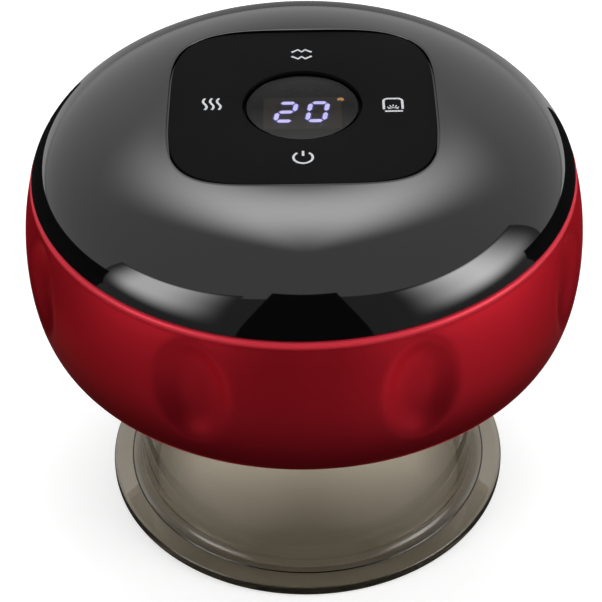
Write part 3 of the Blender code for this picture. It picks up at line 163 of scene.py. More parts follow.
# Printed lines: the unit of their points, and how nearly flat they are pressed
MILLIMETRE = 0.001
PRINT_FLATNESS = 0.08

# Finishes: how deep the grain goes, and between which values most of a noise lies
GRAIN_DEPTH = 0.00002
NOISE = (0.3, 0.7)

# Cup: the bevel inside its mouth, its rounds, and where the painted shade of its lower part starts to lift
MOUTH_BEVEL = 0.0012
MOUTH_ROUND = 0.0008
RIM_ROUND = 0.0006
TOP_ROUND = 0.0004
CUP_SHADE_LIFT = 0.010
# Points set this close to an edge keep the flat side next to it flat in the shading
HOLD = 0.00012

# Studio
STUDIO_CENTRE = Vector((0, 0, 0.068))
FLOOR_LEVEL = -0.0002
FLOOR_SIZE = 8
FLOOR_GLOW = 0.50
SIDES = ("Left", "Right", "Bottom", "Top")
CARD_DISTANCES = {"softbox": 0.9, "dim_card": 0.95, "dark_card": 0.85, "floor_card": 0.98}
SENSOR_WIDTH = 36
# Light that the cup gathers on the floor: how much the way across counts beside the way back, where it rises
# from nothing, to how much, what is left all over, and its share by distance from the axis, in GATHER_REACH
GATHER_ACROSS = 0.46
GATHER_FROM, GATHER_TO = -0.0174, 0.006
GATHER_MOST, GATHER_LEAST = 0.38, 0.06
GATHER_REACH = 0.04
GATHER_SHARES = {0.50: 1.0, 0.68: 0.28, 0.75: 0.32, 0.80: 0.60}


# Kinds of setting
def number_prop(name, description, default, **more):
    return FloatProperty(name=name, description=description, default=default, **more)


def length_prop(name, description, default):
    return number_prop(name, description, default, unit="LENGTH")


def angle_prop(name, description, degrees):
    return number_prop(name, description, radians(degrees), subtype="ANGLE")


def colour_prop(name, description, default):
    more = {"subtype": "COLOR", "min": 0, "max": 1}
    return FloatVectorProperty(name=name, description=description, default=default, **more)


class ShellSizes(bpy.types.PropertyGroup):
    seam_round: length_prop("Seam round", "Radius of the grip ring's upper edge at the seam", 0.00075)
    lower_round: length_prop("Lower round", "Radius of the dome's lower edge at the seam", 0.00012)
    pocket_round: length_prop("Pocket round", "Radius of the dome's edge round the panel", 0.00015)
    lip_groove: length_prop("Lip groove", "Depth of the parting line near the ring's lower edge", 0.00018)
    dimple_width: length_prop("Dimple width", "Width of a finger dimple", 0.0136)
    dimple_height: length_prop("Dimple height", "Height of a finger dimple", 0.0205)
    dimple_depth: length_prop("Dimple depth", "Depth of a finger dimple", 0.0021)
    dimple_count: IntProperty(
        name="Dimples", description="Number of finger dimples round the ring", default=8, min=3
    )


class PanelSizes(bpy.types.PropertyGroup):
    corner_power: number_prop(
        "Corner power", "How square the panel is: 2 is a circle, more is squarer", 4.1, min=2
    )
    line_width: length_prop("Line width", "Width of a printed symbol's lines", 0.00039)
    symbol_place: length_prop("Symbol place", "Distance of each symbol from the middle of the panel", 0.0145)
    digit_height: length_prop("Digit height", "Height of a display digit", 0.0055)
    digit_width: length_prop("Digit width", "Width of a display digit", 0.0034)
    digit_pitch: length_prop("Digit pitch", "Distance between the two digits", 0.0050)
    digit_slant: angle_prop("Digit slant", "How far the digits lean to the right", 8)
    segment_width: length_prop("Segment width", "Width of a display segment", 0.00072)


class CupSizes(bpy.types.PropertyGroup):
    radius: length_prop("Wall radius", "Outer radius of the cup's wall", 0.030)
    wall: length_prop("Wall", "Thickness of the cup's wall", 0.0022)
    rim_thickness: length_prop("Rim thickness", "Thickness of the flat rim", 0.0021)
    fillet: length_prop("Fillet", "Radius between the rim and the wall", 0.0018)
    # The line is a small groove that carries a painted dark line: painted shade at the corner
    line_width: length_prop("Line width", "Width of the moulded line where the fillet meets the rim", 0.00028)


class Finishes(bpy.types.PropertyGroup):
    dome: colour_prop("Dome", "Colour of the glossy dome", (0.0015, 0.0015, 0.0018))
    panel: colour_prop("Panel", "Colour of the key panel", (0.0036, 0.0036, 0.0042))
    print_grey: colour_prop("Print", "Colour of the printed symbols", (0.60, 0.62, 0.64))
    ring: colour_prop("Ring", "Colour of the ring's metallic paint", (0.56, 0.0105, 0.025))
    cup: colour_prop("Cup", "Tint of the smoky cup", (0.53, 0.49, 0.42))
    digits: colour_prop("Digits", "Light of the display's digits", (0.60, 0.56, 1.0))


class StudioSizes(bpy.types.PropertyGroup):
    view_width: number_prop("Focal share", "Focal length divided by the picture's width", 3.403)
    distance: length_prop("Distance", "Distance of the camera from its target", 0.3543)
    elevation: angle_prop("Elevation", "Height of the camera above the horizon", 40.015)
    target_height: length_prop("Target height", "Height of the point that the camera looks at", 0.03619)
    roll: angle_prop("Roll", "Turn of the camera about its own line of sight", -0.882)
    shift: number_prop("Shift", "Sideways shift of the picture, as a share of its width", -0.00724)
    tent_level: number_prop("Tent level", "Brightness of the white tent all round", 0.50, min=0)
    floor_grey: number_prop("Floor", "How pale the floor is", 0.80, min=0, max=1)


# Modelling helpers
def deselect_all():
    if bpy.context.object and bpy.context.object.mode != "OBJECT":
        bpy.ops.object.mode_set(mode="OBJECT")
    bpy.ops.object.select_all(action="DESELECT")


def select_only(obj):
    deselect_all()
    obj.select_set(True)
    bpy.context.view_layer.objects.active = obj


def named(name):
    """The primitive that was just added, under its own name."""
    obj = bpy.context.object
    obj.name = name
    obj.data.name = name
    return obj


def settle(obj):
    """Puts the object's place into its mesh."""
    select_only(obj)
    bpy.ops.object.transform_apply(location=True, rotation=True, scale=True)
    return obj


def apply_modifier(obj, kind, **values):
    select_only(obj)
    modifier = obj.modifiers.new(kind.lower(), kind)
    for key, value in values.items():
        setattr(modifier, key, value)
    bpy.ops.object.modifier_apply(modifier=modifier.name)


def cut(obj, cutter):
    apply_modifier(obj, "BOOLEAN", operation="DIFFERENCE", solver="EXACT", object=cutter)
    bpy.data.objects.remove(cutter)


def join(first, *others):
    select_only(first)
    for obj in others:
        obj.select_set(True)
    bpy.ops.object.join()
    return first


def mend(obj):
    """Joins a mesh's doubled points and turns its faces outwards."""
    select_only(obj)
    bpy.ops.object.mode_set(mode="EDIT")
    bpy.ops.mesh.select_all(action="SELECT")
    bpy.ops.mesh.remove_doubles(threshold=WELD)
    bpy.ops.mesh.normals_make_consistent(inside=False)
    bpy.ops.object.mode_set(mode="OBJECT")


def turns(count):
    return [2 * pi * k / count for k in range(count)]


def polar(radius, angle, z):
    return (radius * cos(angle), radius * sin(angle), z)


def circle(radius, z, count=ROUND_POINTS):
    return [polar(radius, angle, z) for angle in turns(count)]


def squircle_radius(half, power, angle):
    return half * (abs(cos(angle)) ** power + abs(sin(angle)) ** power) ** (-1 / power)


def squircle(half, z, power):
    """A ring along the outline of a square panel with full round corners."""
    return [polar(squircle_radius(half, power, angle), angle, z) for angle in turns(SHELL_POINTS)]


def loft(name, rings):
    """A skin through rings of as many points each: a circle is extruded ring by ring, each set in place."""
    deselect_all()
    bpy.ops.mesh.primitive_circle_add(vertices=len(rings[0]), radius=BODY_RADIUS)
    obj = named(name)
    bpy.ops.object.mode_set(mode="EDIT")
    bm = bmesh.from_edit_mesh(obj.data)
    ring = list(bm.verts)
    for vert, place in zip(ring, rings[0]):
        vert.co = place
    for places in rings[1:]:
        order = {tuple(vert.co): index for index, vert in enumerate(ring)}
        bmesh.update_edit_mesh(obj.data)
        bpy.ops.mesh.extrude_edges_move()
        bm = bmesh.from_edit_mesh(obj.data)
        ring = sorted((vert for vert in bm.verts if vert.select), key=lambda vert: order[tuple(vert.co)])
        for vert, place in zip(ring, places):
            vert.co = place
    bmesh.update_edit_mesh(obj.data)
    mend(obj)
    return obj


def turned(name, outline, count=ROUND_POINTS):
    """A closed (r, z) outline turned round Z."""
    if outline[0][0] > 0:
        outline = [*outline, outline[0]]
    return loft(name, [circle(r, z, count) for r, z in outline])


def rounded(points, radii, steps=4):
    """The (r, z) outline with each corner that has a radius turned into an arc."""
    result = []
    for index, point in enumerate(points):
        radius = radii.get(index, 0)
        if not radius:
            result.append(point)
            continue
        corner = Vector(point)
        before = (Vector(points[index - 1]) - corner).normalized()
        after = (Vector(points[(index + 1) % len(points)]) - corner).normalized()
        half = before.angle(after) / 2
        reach = radius / tan(half)
        centre = corner + (before + after).normalized() * (radius / sin(half))
        first = corner + before * reach - centre
        sweep = first.angle_signed(corner + after * reach - centre)
        for step in range(steps + 1):
            arm = Matrix.Rotation(-sweep * step / steps, 2) @ first
            result.append(tuple(centre + arm))
    return result


def held(outline):
    """The closed outline with a point close to each end of its long sides, so their shading stays flat."""
    result = []
    for first, second in zip(outline, [*outline[1:], outline[0]]):
        result.append(first)
        start, end = Vector(first), Vector(second)
        share = HOLD / (end - start).length
        if share < 0.1:
            result += [tuple(start.lerp(end, share)), tuple(start.lerp(end, 1 - share))]
    return result


def bezier_point(shares, t, width, height, start=0.0, low=0.0):
    weights = ((1 - t) ** 3, 3 * (1 - t) ** 2 * t, 3 * (1 - t) * t**2, t**3)
    r = sum(weight * share[0] for weight, share in zip(weights, shares))
    z = sum(weight * share[1] for weight, share in zip(weights, shares))
    return (start + r * width, low + z * height)


def dome_point(t):
    """A point of the dome's outline, from its flat top at 0 to the seam at 1."""
    return bezier_point(DOME_SHARES, t, SEAM_RADIUS - DOME_FLAT, TOP - DOME_BOTTOM, DOME_FLAT, DOME_BOTTOM)


def dome_place(radius):
    """How far along the dome's outline a radius is: negative on the flat top."""
    if radius <= DOME_FLAT:
        return radius / DOME_FLAT - 1
    low, high = 0.0, 1.0
    for _ in range(40):
        middle = (low + high) / 2
        if dome_point(middle)[0] < radius:
            low = middle
        else:
            high = middle
    return low


def dome_at(place):
    if place <= 0:
        return (DOME_FLAT * (1 + place), TOP)
    return dome_point(place)


def offset(points, distance):
    """The (r, z) curve moved to the left of its direction."""
    moved = []
    for index, (r, z) in enumerate(points):
        before = points[max(index - 1, 0)]
        after = points[min(index + 1, len(points) - 1)]
        along = Vector((after[0] - before[0], after[1] - before[1])).normalized()
        moved.append((r - along.y * distance, z + along.x * distance))
    return moved


def dimple(sizes, across, up):
    """How deep a finger dimple is at a distance across and up from its middle."""
    reach = (2 * across / sizes.dimple_width) ** 2 + (2 * up / sizes.dimple_height) ** 2
    return sizes.dimple_depth * (1 - reach) ** 2 * (1 + 2 * reach) if reach < 1 else 0


def finish_piece(obj, finish, nodes=(), angle=35, body="housing"):
    """Gives a finished piece its shading, material and body, and hides the solids that it stands for."""
    select_only(obj)
    bpy.ops.object.shade_smooth_by_angle(angle=radians(angle))
    obj.data.materials.clear()
    obj.data.materials.append(bpy.data.materials[f"{finish}_finish"])
    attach(obj, body)
    if nodes:
        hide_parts(*nodes)


def second_finish(obj, finish, belongs):
    """Gives another finish to the faces whose distance from the axis and height pass the test."""
    obj.data.materials.append(bpy.data.materials[f"{finish}_finish"])
    for face in obj.data.polygons:
        if belongs(hypot(face.center.x, face.center.y), face.center.z):
            face.material_index = 1


# Shader groups
def add_node(tree, kind, inputs=None, **values):
    """A node with its settings, and its sockets set or linked by name or number."""
    node = tree.nodes.new(kind)
    for key, value in values.items():
        setattr(node, key, value)
    for key, value in (inputs or {}).items():
        if isinstance(value, bpy.types.NodeSocket):
            tree.links.new(value, node.inputs[key])
        else:
            node.inputs[key].default_value = value
    return node


def new_group(name, inputs, *output):
    """A shader node group: numbers and colours come in by name and default, and numbers or Color go out. Gives
    the group, what comes in and what goes out."""
    group = bpy.data.node_groups.new(name, "ShaderNodeTree")
    for label, default in inputs.items():
        kind = "NodeSocketFloat" if isinstance(default, float) else "NodeSocketColor"
        group.interface.new_socket(label, in_out="INPUT", socket_type=kind).default_value = default
    for label in output:
        kind = "NodeSocketColor" if label == "Color" else "NodeSocketFloat"
        group.interface.new_socket(label, in_out="OUTPUT", socket_type=kind)
    return group, group.nodes.new("NodeGroupInput").outputs, group.nodes.new("NodeGroupOutput").inputs


def coordinate(tree, kind="Object"):
    return add_node(tree, "ShaderNodeTexCoord").outputs[kind]


def axes(tree, kind="Object"):
    return add_node(tree, "ShaderNodeSeparateXYZ", {"Vector": coordinate(tree, kind)}).outputs


def maths(tree, operation, *values):
    return add_node(tree, "ShaderNodeMath", dict(enumerate(values)), operation=operation).outputs[0]


def mixed(tree, share, first, second):
    """The first colour where the share is 0, and the second where it is 1."""
    values = {"Factor": share, "A": first, "B": second}
    return add_node(tree, "ShaderNodeMix", values, data_type="RGBA").outputs["Result"]


def map_range(tree, value, start=0.0, end=1.0, low=0.0, high=1.0, ease="LINEAR"):
    """Brings a value that lies between a start and an end to lie between low and high."""
    values = {"Value": value, "From Min": start, "From Max": end, "To Min": low, "To Max": high}
    return add_node(tree, "ShaderNodeMapRange", values, interpolation_type=ease).outputs["Result"]


def noise(tree, place, scale, detail, distortion=0.0):
    values = {"Vector": place, "Scale": scale, "Detail": detail, "Distortion": distortion}
    return add_node(tree, "ShaderNodeTexNoise", values).outputs["Fac"]


def make_grain_group():
    """Fine moulded or painted grain: a height and a roughness that varies with it."""
    inputs = {"Scale": 4000.0, "Low": 0.3, "High": 0.4}
    group, given, result = new_group("surface_grain", inputs, "Roughness", "Height")
    fine = noise(group, coordinate(group), given["Scale"], 3.0)
    group.links.new(map_range(group, fine, *NOISE, given["Low"], given["High"]), result["Roughness"])
    group.links.new(fine, result["Height"])


def make_tone_group():
    """Slow colour variation between two close colours."""
    inputs = {"First": (0.5, 0.5, 0.5, 1), "Second": (0.6, 0.6, 0.6, 1), "Scale": 60.0}
    group, given, result = new_group("tone_drift", inputs, "Color")
    slow = map_range(group, noise(group, coordinate(group), given["Scale"], 2.0), *NOISE)
    group.links.new(mixed(group, slow, given["First"], given["Second"]), result["Color"])


def make_wipe_group():
    """Faint wipe marks on a polished surface: roughness between a clean and a hazy value."""
    inputs = {"Scale": 30.0, "Clean": 0.04, "Hazy": 0.09}
    group, given, result = new_group("wipe_marks", inputs, "Roughness")
    stretched = add_node(group, "ShaderNodeMapping", {"Vector": coordinate(group), "Scale": (1, 4, 2)})
    marks = noise(group, stretched.outputs["Vector"], given["Scale"], 5.0, 0.6)
    group.links.new(map_range(group, marks, *NOISE, given["Clean"], given["Hazy"]), result["Roughness"])


def make_painted_shade_group():
    """A colour that changes from one height to another: painted shade lower down and painted highlight higher
    up.
    """
    inputs = {"Lower": (0.4, 0.4, 0.4, 1), "Upper": (0.8, 0.8, 0.8, 1), "From": 0.0, "To": 0.03}
    group, given, result = new_group("painted_height_shade", inputs, "Color")
    share = map_range(group, axes(group)["Z"], given["From"], given["To"], ease="SMOOTHSTEP")
    group.links.new(mixed(group, share, given["Lower"], given["Upper"]), result["Color"])


def make_card_group():
    """A card's light over its UV square, which fades into its surround over a share of the card."""
    inputs = dict.fromkeys(SIDES, 0.3) | {"Light": (1, 1, 1, 1), "Surround": (1, 1, 1, 1)}
    group, given, result = new_group("softbox_fade", inputs, "Color")
    split = axes(group, "UV")
    product = 1.0
    for axis, near, far in (("X", *SIDES[:2]), ("Y", *SIDES[2:])):
        for value, width in ((split[axis], near), (maths(group, "SUBTRACT", 1.0, split[axis]), far)):
            fade = map_range(group, value, end=given[width], ease="SMOOTHSTEP")
            product = maths(group, "MULTIPLY", product, fade)
    group.links.new(mixed(group, product, given["Surround"], given["Light"]), result["Color"])


def make_gather_group():
    """Light that the cup gathers on the floor: more at its back and sides, less under its rim."""
    group, _, result = new_group("gathered_light", {}, "Strength")
    split = axes(group)
    back = maths(group, "MULTIPLY_ADD", maths(group, "ABSOLUTE", split["X"]), GATHER_ACROSS, split["Y"])
    gathered = map_range(group, back, GATHER_FROM, GATHER_TO, high=GATHER_MOST)
    away = add_node(group, "ShaderNodeVectorMath", {0: coordinate(group)}, operation="LENGTH").outputs["Value"]
    rings = add_node(group, "ShaderNodeValToRGB", {"Fac": maths(group, "DIVIDE", away, GATHER_REACH)})
    ends = rings.color_ramp.elements
    first, *middle, last = GATHER_SHARES
    ends[0].position, ends[1].position = first, last
    for place in middle:
        ends.new(place)
    for end, level in zip(ends, GATHER_SHARES.values()):
        end.color = (level, level, level, 1)
    level = maths(group, "MULTIPLY_ADD", gathered, rings.outputs["Color"], GATHER_LEAST)
    group.links.new(level, result["Strength"])


def group_node(tree, name, **values):
    return add_node(tree, "ShaderNodeGroup", values, node_tree=bpy.data.node_groups[name])


# Materials
def principled(name, colour, metallic=0.0, **constants):
    """A Principled material whose constant sockets are set directly."""
    material = bpy.data.materials.new(f"{name}_finish")
    material.use_nodes = True
    shader = material.node_tree.nodes["Principled BSDF"]
    shader.inputs["Base Color"].default_value = lighter(colour)
    shader.inputs["Metallic"].default_value = metallic
    for key, value in constants.items():
        shader.inputs[key.replace("_", " ")].default_value = value
    material.diffuse_color = lighter(colour)
    return material.node_tree, shader.inputs


def lighter(colour, share=1.0):
    return (*[min(1, value * share) for value in colour[:3]], 1)


def drift(tree, socket, colour, share, scale):
    """Feeds a socket with a colour that drifts to a lighter one."""
    tone = group_node(tree, "tone_drift", First=lighter(colour), Second=lighter(colour, share), Scale=scale)
    tree.links.new(tone.outputs["Color"], socket)


def wipe(tree, inputs, scale, clean, hazy):
    marks = group_node(tree, "wipe_marks", Scale=scale, Clean=clean, Hazy=hazy)
    tree.links.new(marks.outputs["Roughness"], inputs["Roughness"])


# Painted shade and highlight: the socket gets a colour darker lower down and paler higher up
def paint_shade_by_height(tree, socket, lower, upper, start, end):
    tint = group_node(tree, "painted_height_shade", Lower=lower, Upper=upper, From=start, To=end)
    tree.links.new(tint.outputs["Color"], socket)


def polished(name, colour, clean, hazy, **constants):
    tree, inputs = principled(name, colour, **constants)
    drift(tree, inputs["Base Color"], colour, 1.2, 40.0)
    wipe(tree, inputs, 30.0, clean, hazy)


def grained(name, colour, low, high, scale, bump, share=1.25, metallic=0.0, heights=(), **constants):
    """A surface with grain, and with painted shade and highlight between two heights or else a slow drift of
    its colour.
    """
    tree, inputs = principled(name, colour, metallic, **constants)
    if heights:
        paint_shade_by_height(tree, inputs["Base Color"], *heights)
    else:
        drift(tree, inputs["Base Color"], colour, share, 90.0)
    made = group_node(tree, "surface_grain", Scale=scale, Low=low, High=high)
    tree.links.new(made.outputs["Roughness"], inputs["Roughness"])
    if bump:
        values = {"Strength": bump, "Distance": GRAIN_DEPTH, "Height": made.outputs["Height"]}
        tree.links.new(add_node(tree, "ShaderNodeBump", values).outputs["Normal"], inputs["Normal"])


def smoky(name, colour, clean, hazy, density=0.0, heights=(), ior=1.49):
    """Clear or smoky plastic. With a density, its thickness takes light away too, and its colour is darker low
    down and paler higher up: painted shade.
    """
    tree, inputs = principled(name, colour, Transmission_Weight=1.0, IOR=ior)
    wipe(tree, inputs, 18.0, clean, hazy)
    if density:
        paint_shade_by_height(tree, inputs["Base Color"], *heights)
        absorb = add_node(tree, "ShaderNodeVolumeAbsorption", {"Color": lighter(colour), "Density": density})
        tree.links.new(absorb.outputs["Volume"], tree.nodes["Material Output"].inputs["Volume"])


def glowing(name, colour, strength):
    tree, inputs = principled(name, colour, Emission_Strength=strength)
    drift(tree, inputs["Emission Color"], colour, 1.2, 900.0)


# Grained finishes: colour, roughness from and to, grain scale and depth, drift of the colour, metallic
GRAINED = {
    "base_black": ((0.012, 0.012, 0.013), 0.45, 0.6, 3500.0, 0.3),
    "display_face": ((0.50, 0.40, 0.27), 0.5, 0.6, 3000.0, 0.0, 1.1),
    "segment_dark": ((0.38, 0.31, 0.22), 0.5, 0.6, 3000.0, 0.0, 1.1),
    "seal_rubber": ((0.030, 0.030, 0.032), 0.65, 0.8, 2500.0, 0.3),
    "filter_felt": ((0.70, 0.69, 0.66), 0.85, 0.98, 2200.0, 0.9, 1.15),
    "board_green": ((0.012, 0.095, 0.040), 0.25, 0.4, 1200.0, 0.15, 1.5),
    "chip_black": ((0.012, 0.012, 0.013), 0.3, 0.45, 3000.0, 0.2),
    "nylon_white": ((0.66, 0.65, 0.61), 0.4, 0.55, 2500.0, 0.2, 1.05),
    "spring_steel": ((0.56, 0.56, 0.57), 0.2, 0.3, 3000.0, 0.1, 1.1, 1.0),
    "can_steel": ((0.47, 0.47, 0.48), 0.25, 0.38, 1800.0, 0.15, 1.15, 1.0),
    "magnet_grey": ((0.060, 0.060, 0.064), 0.5, 0.65, 2600.0, 0.4),
    "coil_copper": ((0.62, 0.22, 0.07), 0.25, 0.4, 2500.0, 0.3, 1.2, 1.0),
}


class MASSAGER_OT_finishes(bpy.types.Operator):
    """Makes the shader groups and every finish"""

    bl_idname = "massager.finishes"
    bl_label = "Make finishes"

    def execute(self, context):
        colours = context.scene.massager_finishes
        make_grain_group()
        make_tone_group()
        make_wipe_group()
        make_painted_shade_group()
        make_card_group()
        make_gather_group()
        for name, values in GRAINED.items():
            grained(name, *values)
        polished("dome_gloss", colours.dome, 0.035, 0.06, Coat_Weight=1.0, Coat_Roughness=0.03)
        polished("lamp_red", (0.55, 0.02, 0.015), 0.08, 0.16, Transmission_Weight=0.6)
        polished("cell_wrap", (0.020, 0.080, 0.26), 0.2, 0.3)
        polished("wire_red", (0.42, 0.010, 0.010), 0.3, 0.42)
        grained("panel_black", colours.panel, 0.55, 0.65, 5000.0, 0.10, Specular_IOR_Level=0.05)
        grained("print_grey", colours.print_grey, 0.5, 0.6, 6000.0, 0.1, 1.1)

        # The ring's red is darker lower down and paler towards the seam: painted shade and painted highlight
        heights = (lighter(colours.ring, 0.72), (1.0, 0.024, 0.048, 1), *RING_SHADE_HEIGHTS)
        paint = {"Specular_Tint": (0.75, 0.24, 0.28, 1), "Coat_Weight": 0.20, "Coat_Roughness": 0.4}
        grained("ring_red", colours.ring, 0.40, 0.48, 9000.0, 0.10, metallic=1.0, heights=heights, **paint)
        # The ring's upper edge band is a paler, less metallic red that the lamps light and that brightens
        # upwards: a painted highlight
        heights = ((0.42, 0.010, 0.020, 1), (0.76, 0.036, 0.062, 1), *EDGE_HIGHLIGHT_HEIGHTS)
        edge_highlight = {"metallic": 0.25, "heights": heights, "Specular_IOR_Level": 0.2}
        grained("ring_edge_highlight", colours.ring, 0.34, 0.42, 9000.0, 0.10, **edge_highlight)

        # The cup is darker low down and paler towards its top: painted shade
        heights = (lighter(colours.cup, 1.2), lighter(colours.cup, 1.85), CUP_SHADE_LIFT, CUP_HIGH.z)
        smoky("cup_smoke", colours.cup, 0.0, 0.02, 260.0, heights)
        # A near-black line in the groove at the fillet: painted shade for the dark line that the corner makes
        # by bending light away
        smoky("cup_shade_line", (0.03, 0.03, 0.035), 0.0, 0.02)
        smoky("smoked_window", (0.16, 0.16, 0.16), 0.0, 0.015, ior=1.27)
        smoky("window_clear", (0.85, 0.84, 0.82), 0.12, 0.2)
        smoky("silicone_clear", (0.86, 0.85, 0.82), 0.35, 0.5)

        glowing("digits_lit", colours.digits, 5.6)
        glowing("digits_halo", (0.12, 0.11, 0.60), 1.6)
        glowing("dot_lit", (1.0, 0.45, 0.14), 2.6)
        return {"FINISHED"}


class MASSAGER_OT_dome(bpy.types.Operator):
    """Models the glossy dome with its pocket for the panel"""

    bl_idname = "massager.dome"
    bl_label = "Make dome"

    def execute(self, context):
        sizes = context.scene.massager_shell
        power = context.scene.massager_panel.corner_power
        half = PANEL_HIGH.x - PANEL_TRIM + GAP
        edge = sizes.pocket_round
        pocket = []
        for angle in turns(SHELL_POINTS):
            radius = squircle_radius(half, power, angle)
            pocket.append((angle, radius, dome_at(dome_place(radius + edge))[1]))
        rings = [circle(LENS_BORE, POCKET_FLOOR, SHELL_POINTS), squircle(half, POCKET_FLOOR, power)]
        for step in range(POCKET_STEPS + 1):
            turn = pi / 2 * step / POCKET_STEPS
            grow, drop = edge * (1 - cos(turn)), edge * (1 - sin(turn))
            rings.append([polar(radius + grow, angle, level - drop) for angle, radius, level in pocket])
        # The dome ends where its outline, upright there, meets the small round of its lower edge
        last = 1 - sizes.lower_round / (3 * DOME_SHARES[2][1] * (TOP - DOME_BOTTOM))
        for step in range(1, DOME_STEPS + 1):
            points = []
            for angle, radius, _ in pocket:
                start = dome_place(radius + edge)
                r, z = dome_at(start + (last - start) * (step / DOME_STEPS))
                points.append(polar(r, angle, z))
            rings.append(points)
        lip_outer = SEAM_RADIUS - SHELL_WALL - GAP
        lip_inner = lip_outer - COVER_LIP
        ceiling = offset([dome_at(step / CEILING_STEPS) for step in range(CEILING_STEPS + 1)], -SHELL_WALL)
        inside = [
            (dome_at(last)[0] - sizes.lower_round, DOME_BOTTOM),
            (lip_outer, DOME_BOTTOM),
            (lip_outer, SEAM - COVER_LIP_DEPTH),
            (lip_inner, SEAM - COVER_LIP_DEPTH),
            *[point for point in reversed(ceiling) if point[0] < lip_inner],
            (LENS_BORE + LEDGE_WALL, CEILING),
            (LENS_BORE + LEDGE_WALL, LEDGE_TOP - LEDGE_THICKNESS),
            (SIGHT_RADIUS, LEDGE_TOP - LEDGE_THICKNESS),
            (SIGHT_RADIUS, LEDGE_TOP),
            (LENS_BORE, LEDGE_TOP),
        ]
        rings += [circle(r, z, SHELL_POINTS) for r, z in inside]
        dome = loft("dome_shell", [*rings, rings[0]])
        finish_piece(dome, "dome_gloss", ["top_cover"], 30)

        def matte(radius, z):
            """The faces round the window and the small round of the lower edge."""
            by_window = radius < LENS_BORE + LEDGE_WALL / 2
            return z < (POCKET_FLOOR if by_window else DOME_BOTTOM + sizes.lower_round)

        second_finish(dome, "panel_black", matte)
        return {"FINISHED"}


def port_cutter():
    """The charging port's slot with round ends, flared where it leaves the ring."""
    middle = (SOCKET_LOW + SOCKET_HIGH) / 2
    radius = (SOCKET_HIGH.z - SOCKET_LOW.z) / 2 + GAP
    straight = (SOCKET_HIGH.x - SOCKET_LOW.x) / 2 + GAP - radius
    face = SOCKET_HIGH.y + PORT_RECESS
    inside = face - SHELL_WALL - PORT_SPARE
    outside = face + 2 * PORT_SPARE
    closed = -radius * 0.99
    rings = []
    for grow, y in (
        (closed, inside),
        (0, inside),
        (0, face - PORT_FLARE),
        (PORT_FLARE, face),
        (PORT_FLARE, outside),
        (closed, outside),
    ):
        reach = radius + grow
        points = []
        for k in range(SLOT_POINTS):
            angle = 2 * pi * (k + 0.5) / SLOT_POINTS
            side = straight if cos(angle) > 0 else -straight
            points.append((middle.x + side + reach * cos(angle), y, middle.z + reach * sin(angle)))
        rings.append(points)
    cutter = loft("port_slot", rings)
    bpy.ops.object.mode_set(mode="EDIT")
    bpy.ops.mesh.select_all(action="DESELECT")
    bpy.ops.mesh.select_non_manifold()
    bpy.ops.mesh.edge_face_add()
    mend(cutter)
    return cutter


class MASSAGER_OT_ring(bpy.types.Operator):
    """Models the metallic grip ring with its finger dimples and charging port"""

    bl_idname = "massager.ring"
    bl_label = "Make grip ring"

    def execute(self, context):
        sizes = context.scene.massager_shell
        edge = sizes.seam_round
        outer = []
        for step in range(RING_STEPS + 1):
            point = bezier_point(RING_SHARES, step / RING_STEPS, BODY_RADIUS, RING_HEIGHT, low=RING_LOW.z)
            if point[1] < SEAM - edge:
                outer.append(point)
        above = next(index for index, point in enumerate(outer) if point[1] < GROOVE_LEVEL)
        (high_r, high_z), (low_r, low_z) = outer[above - 1], outer[above]
        groove = []
        for rise in (GROOVE_REACH, GROOVE_FLOOR, -GROOVE_FLOOR, -GROOVE_REACH):
            share = (GROOVE_LEVEL + rise - low_z) / (high_z - low_z)
            sunk = sizes.lip_groove if abs(rise) == GROOVE_FLOOR else 0
            groove.append((low_r + (high_r - low_r) * share - sunk, GROOVE_LEVEL + rise))
        plain = [point for point in outer if abs(point[1] - GROOVE_LEVEL) > GROOVE_ROOM]
        outer = sorted(plain + groove, key=lambda point: -point[1])
        shoulder = outer[0][0]
        crown = []
        for step in range(CROWN_STEPS):
            turn = pi / 2 * step / CROWN_STEPS
            crown.append((shoulder - edge + edge * sin(turn), SEAM - edge + edge * cos(turn)))
        flange_top = FLANGE_LOW + FLANGE
        inner = [(r - SHELL_WALL, z) for r, z in plain if z > flange_top + GAP]
        outline = [
            (shoulder - SHELL_WALL, SEAM),
            *crown,
            *outer,
            (LIP_BORE, RING_LOW.z),
            (LIP_BORE, FLANGE_LOW),
            (LIP_BORE - FLANGE, FLANGE_LOW),
            (LIP_BORE - FLANGE, flange_top),
            (inner[-1][0], flange_top),
            *reversed(inner),
        ]
        rings = []
        pitch = 2 * pi / sizes.dimple_count
        for r, z in [*outline, outline[0]]:
            points = []
            for angle in turns(RING_POINTS):
                share = angle / pitch - 1 / 2
                share -= round(share)
                depth = dimple(sizes, share * pitch * BODY_RADIUS, z - DIMPLE_LEVEL)
                points.append(polar(r - depth, angle, z))
            rings.append(points)
        ring = loft("grip_ring_shell", rings)
        cut(ring, port_cutter())
        finish_piece(ring, "ring_red", ["grip_ring"], 30)
        # The band along the ring's upper edge takes the painted highlight
        second_finish(ring, "ring_edge_highlight", lambda radius, z: z > SEAM - EDGE_BAND and radius > shoulder - edge)
        return {"FINISHED"}


class MASSAGER_OT_panel(bpy.types.Operator):
    """Models the matte key panel round the display window"""

    bl_idname = "massager.panel"
    bl_label = "Make panel"

    def execute(self, context):
        power = context.scene.massager_panel.corner_power
        half = PANEL_HIGH.x - PANEL_TRIM
        low, high = PANEL_LOW.z, PANEL_HIGH.z
        edge, small = PANEL_EDGE, PANEL_EDGE * 0.3
        rings = [
            squircle(half, low, power),
            squircle(half, high - edge, power),
            squircle(half - small, high - small, power),
            squircle(half - edge, high, power),
            circle(LENS_BORE + edge, high, SHELL_POINTS),
            circle(LENS_BORE + small, high - small, SHELL_POINTS),
            circle(LENS_BORE, high - edge, SHELL_POINTS),
            circle(LENS_BORE, low, SHELL_POINTS),
        ]
        panel = loft("key_panel", [*rings, rings[0]])
        finish_piece(panel, "panel_black", ["control_panel"], 30)
        return {"FINISHED"}


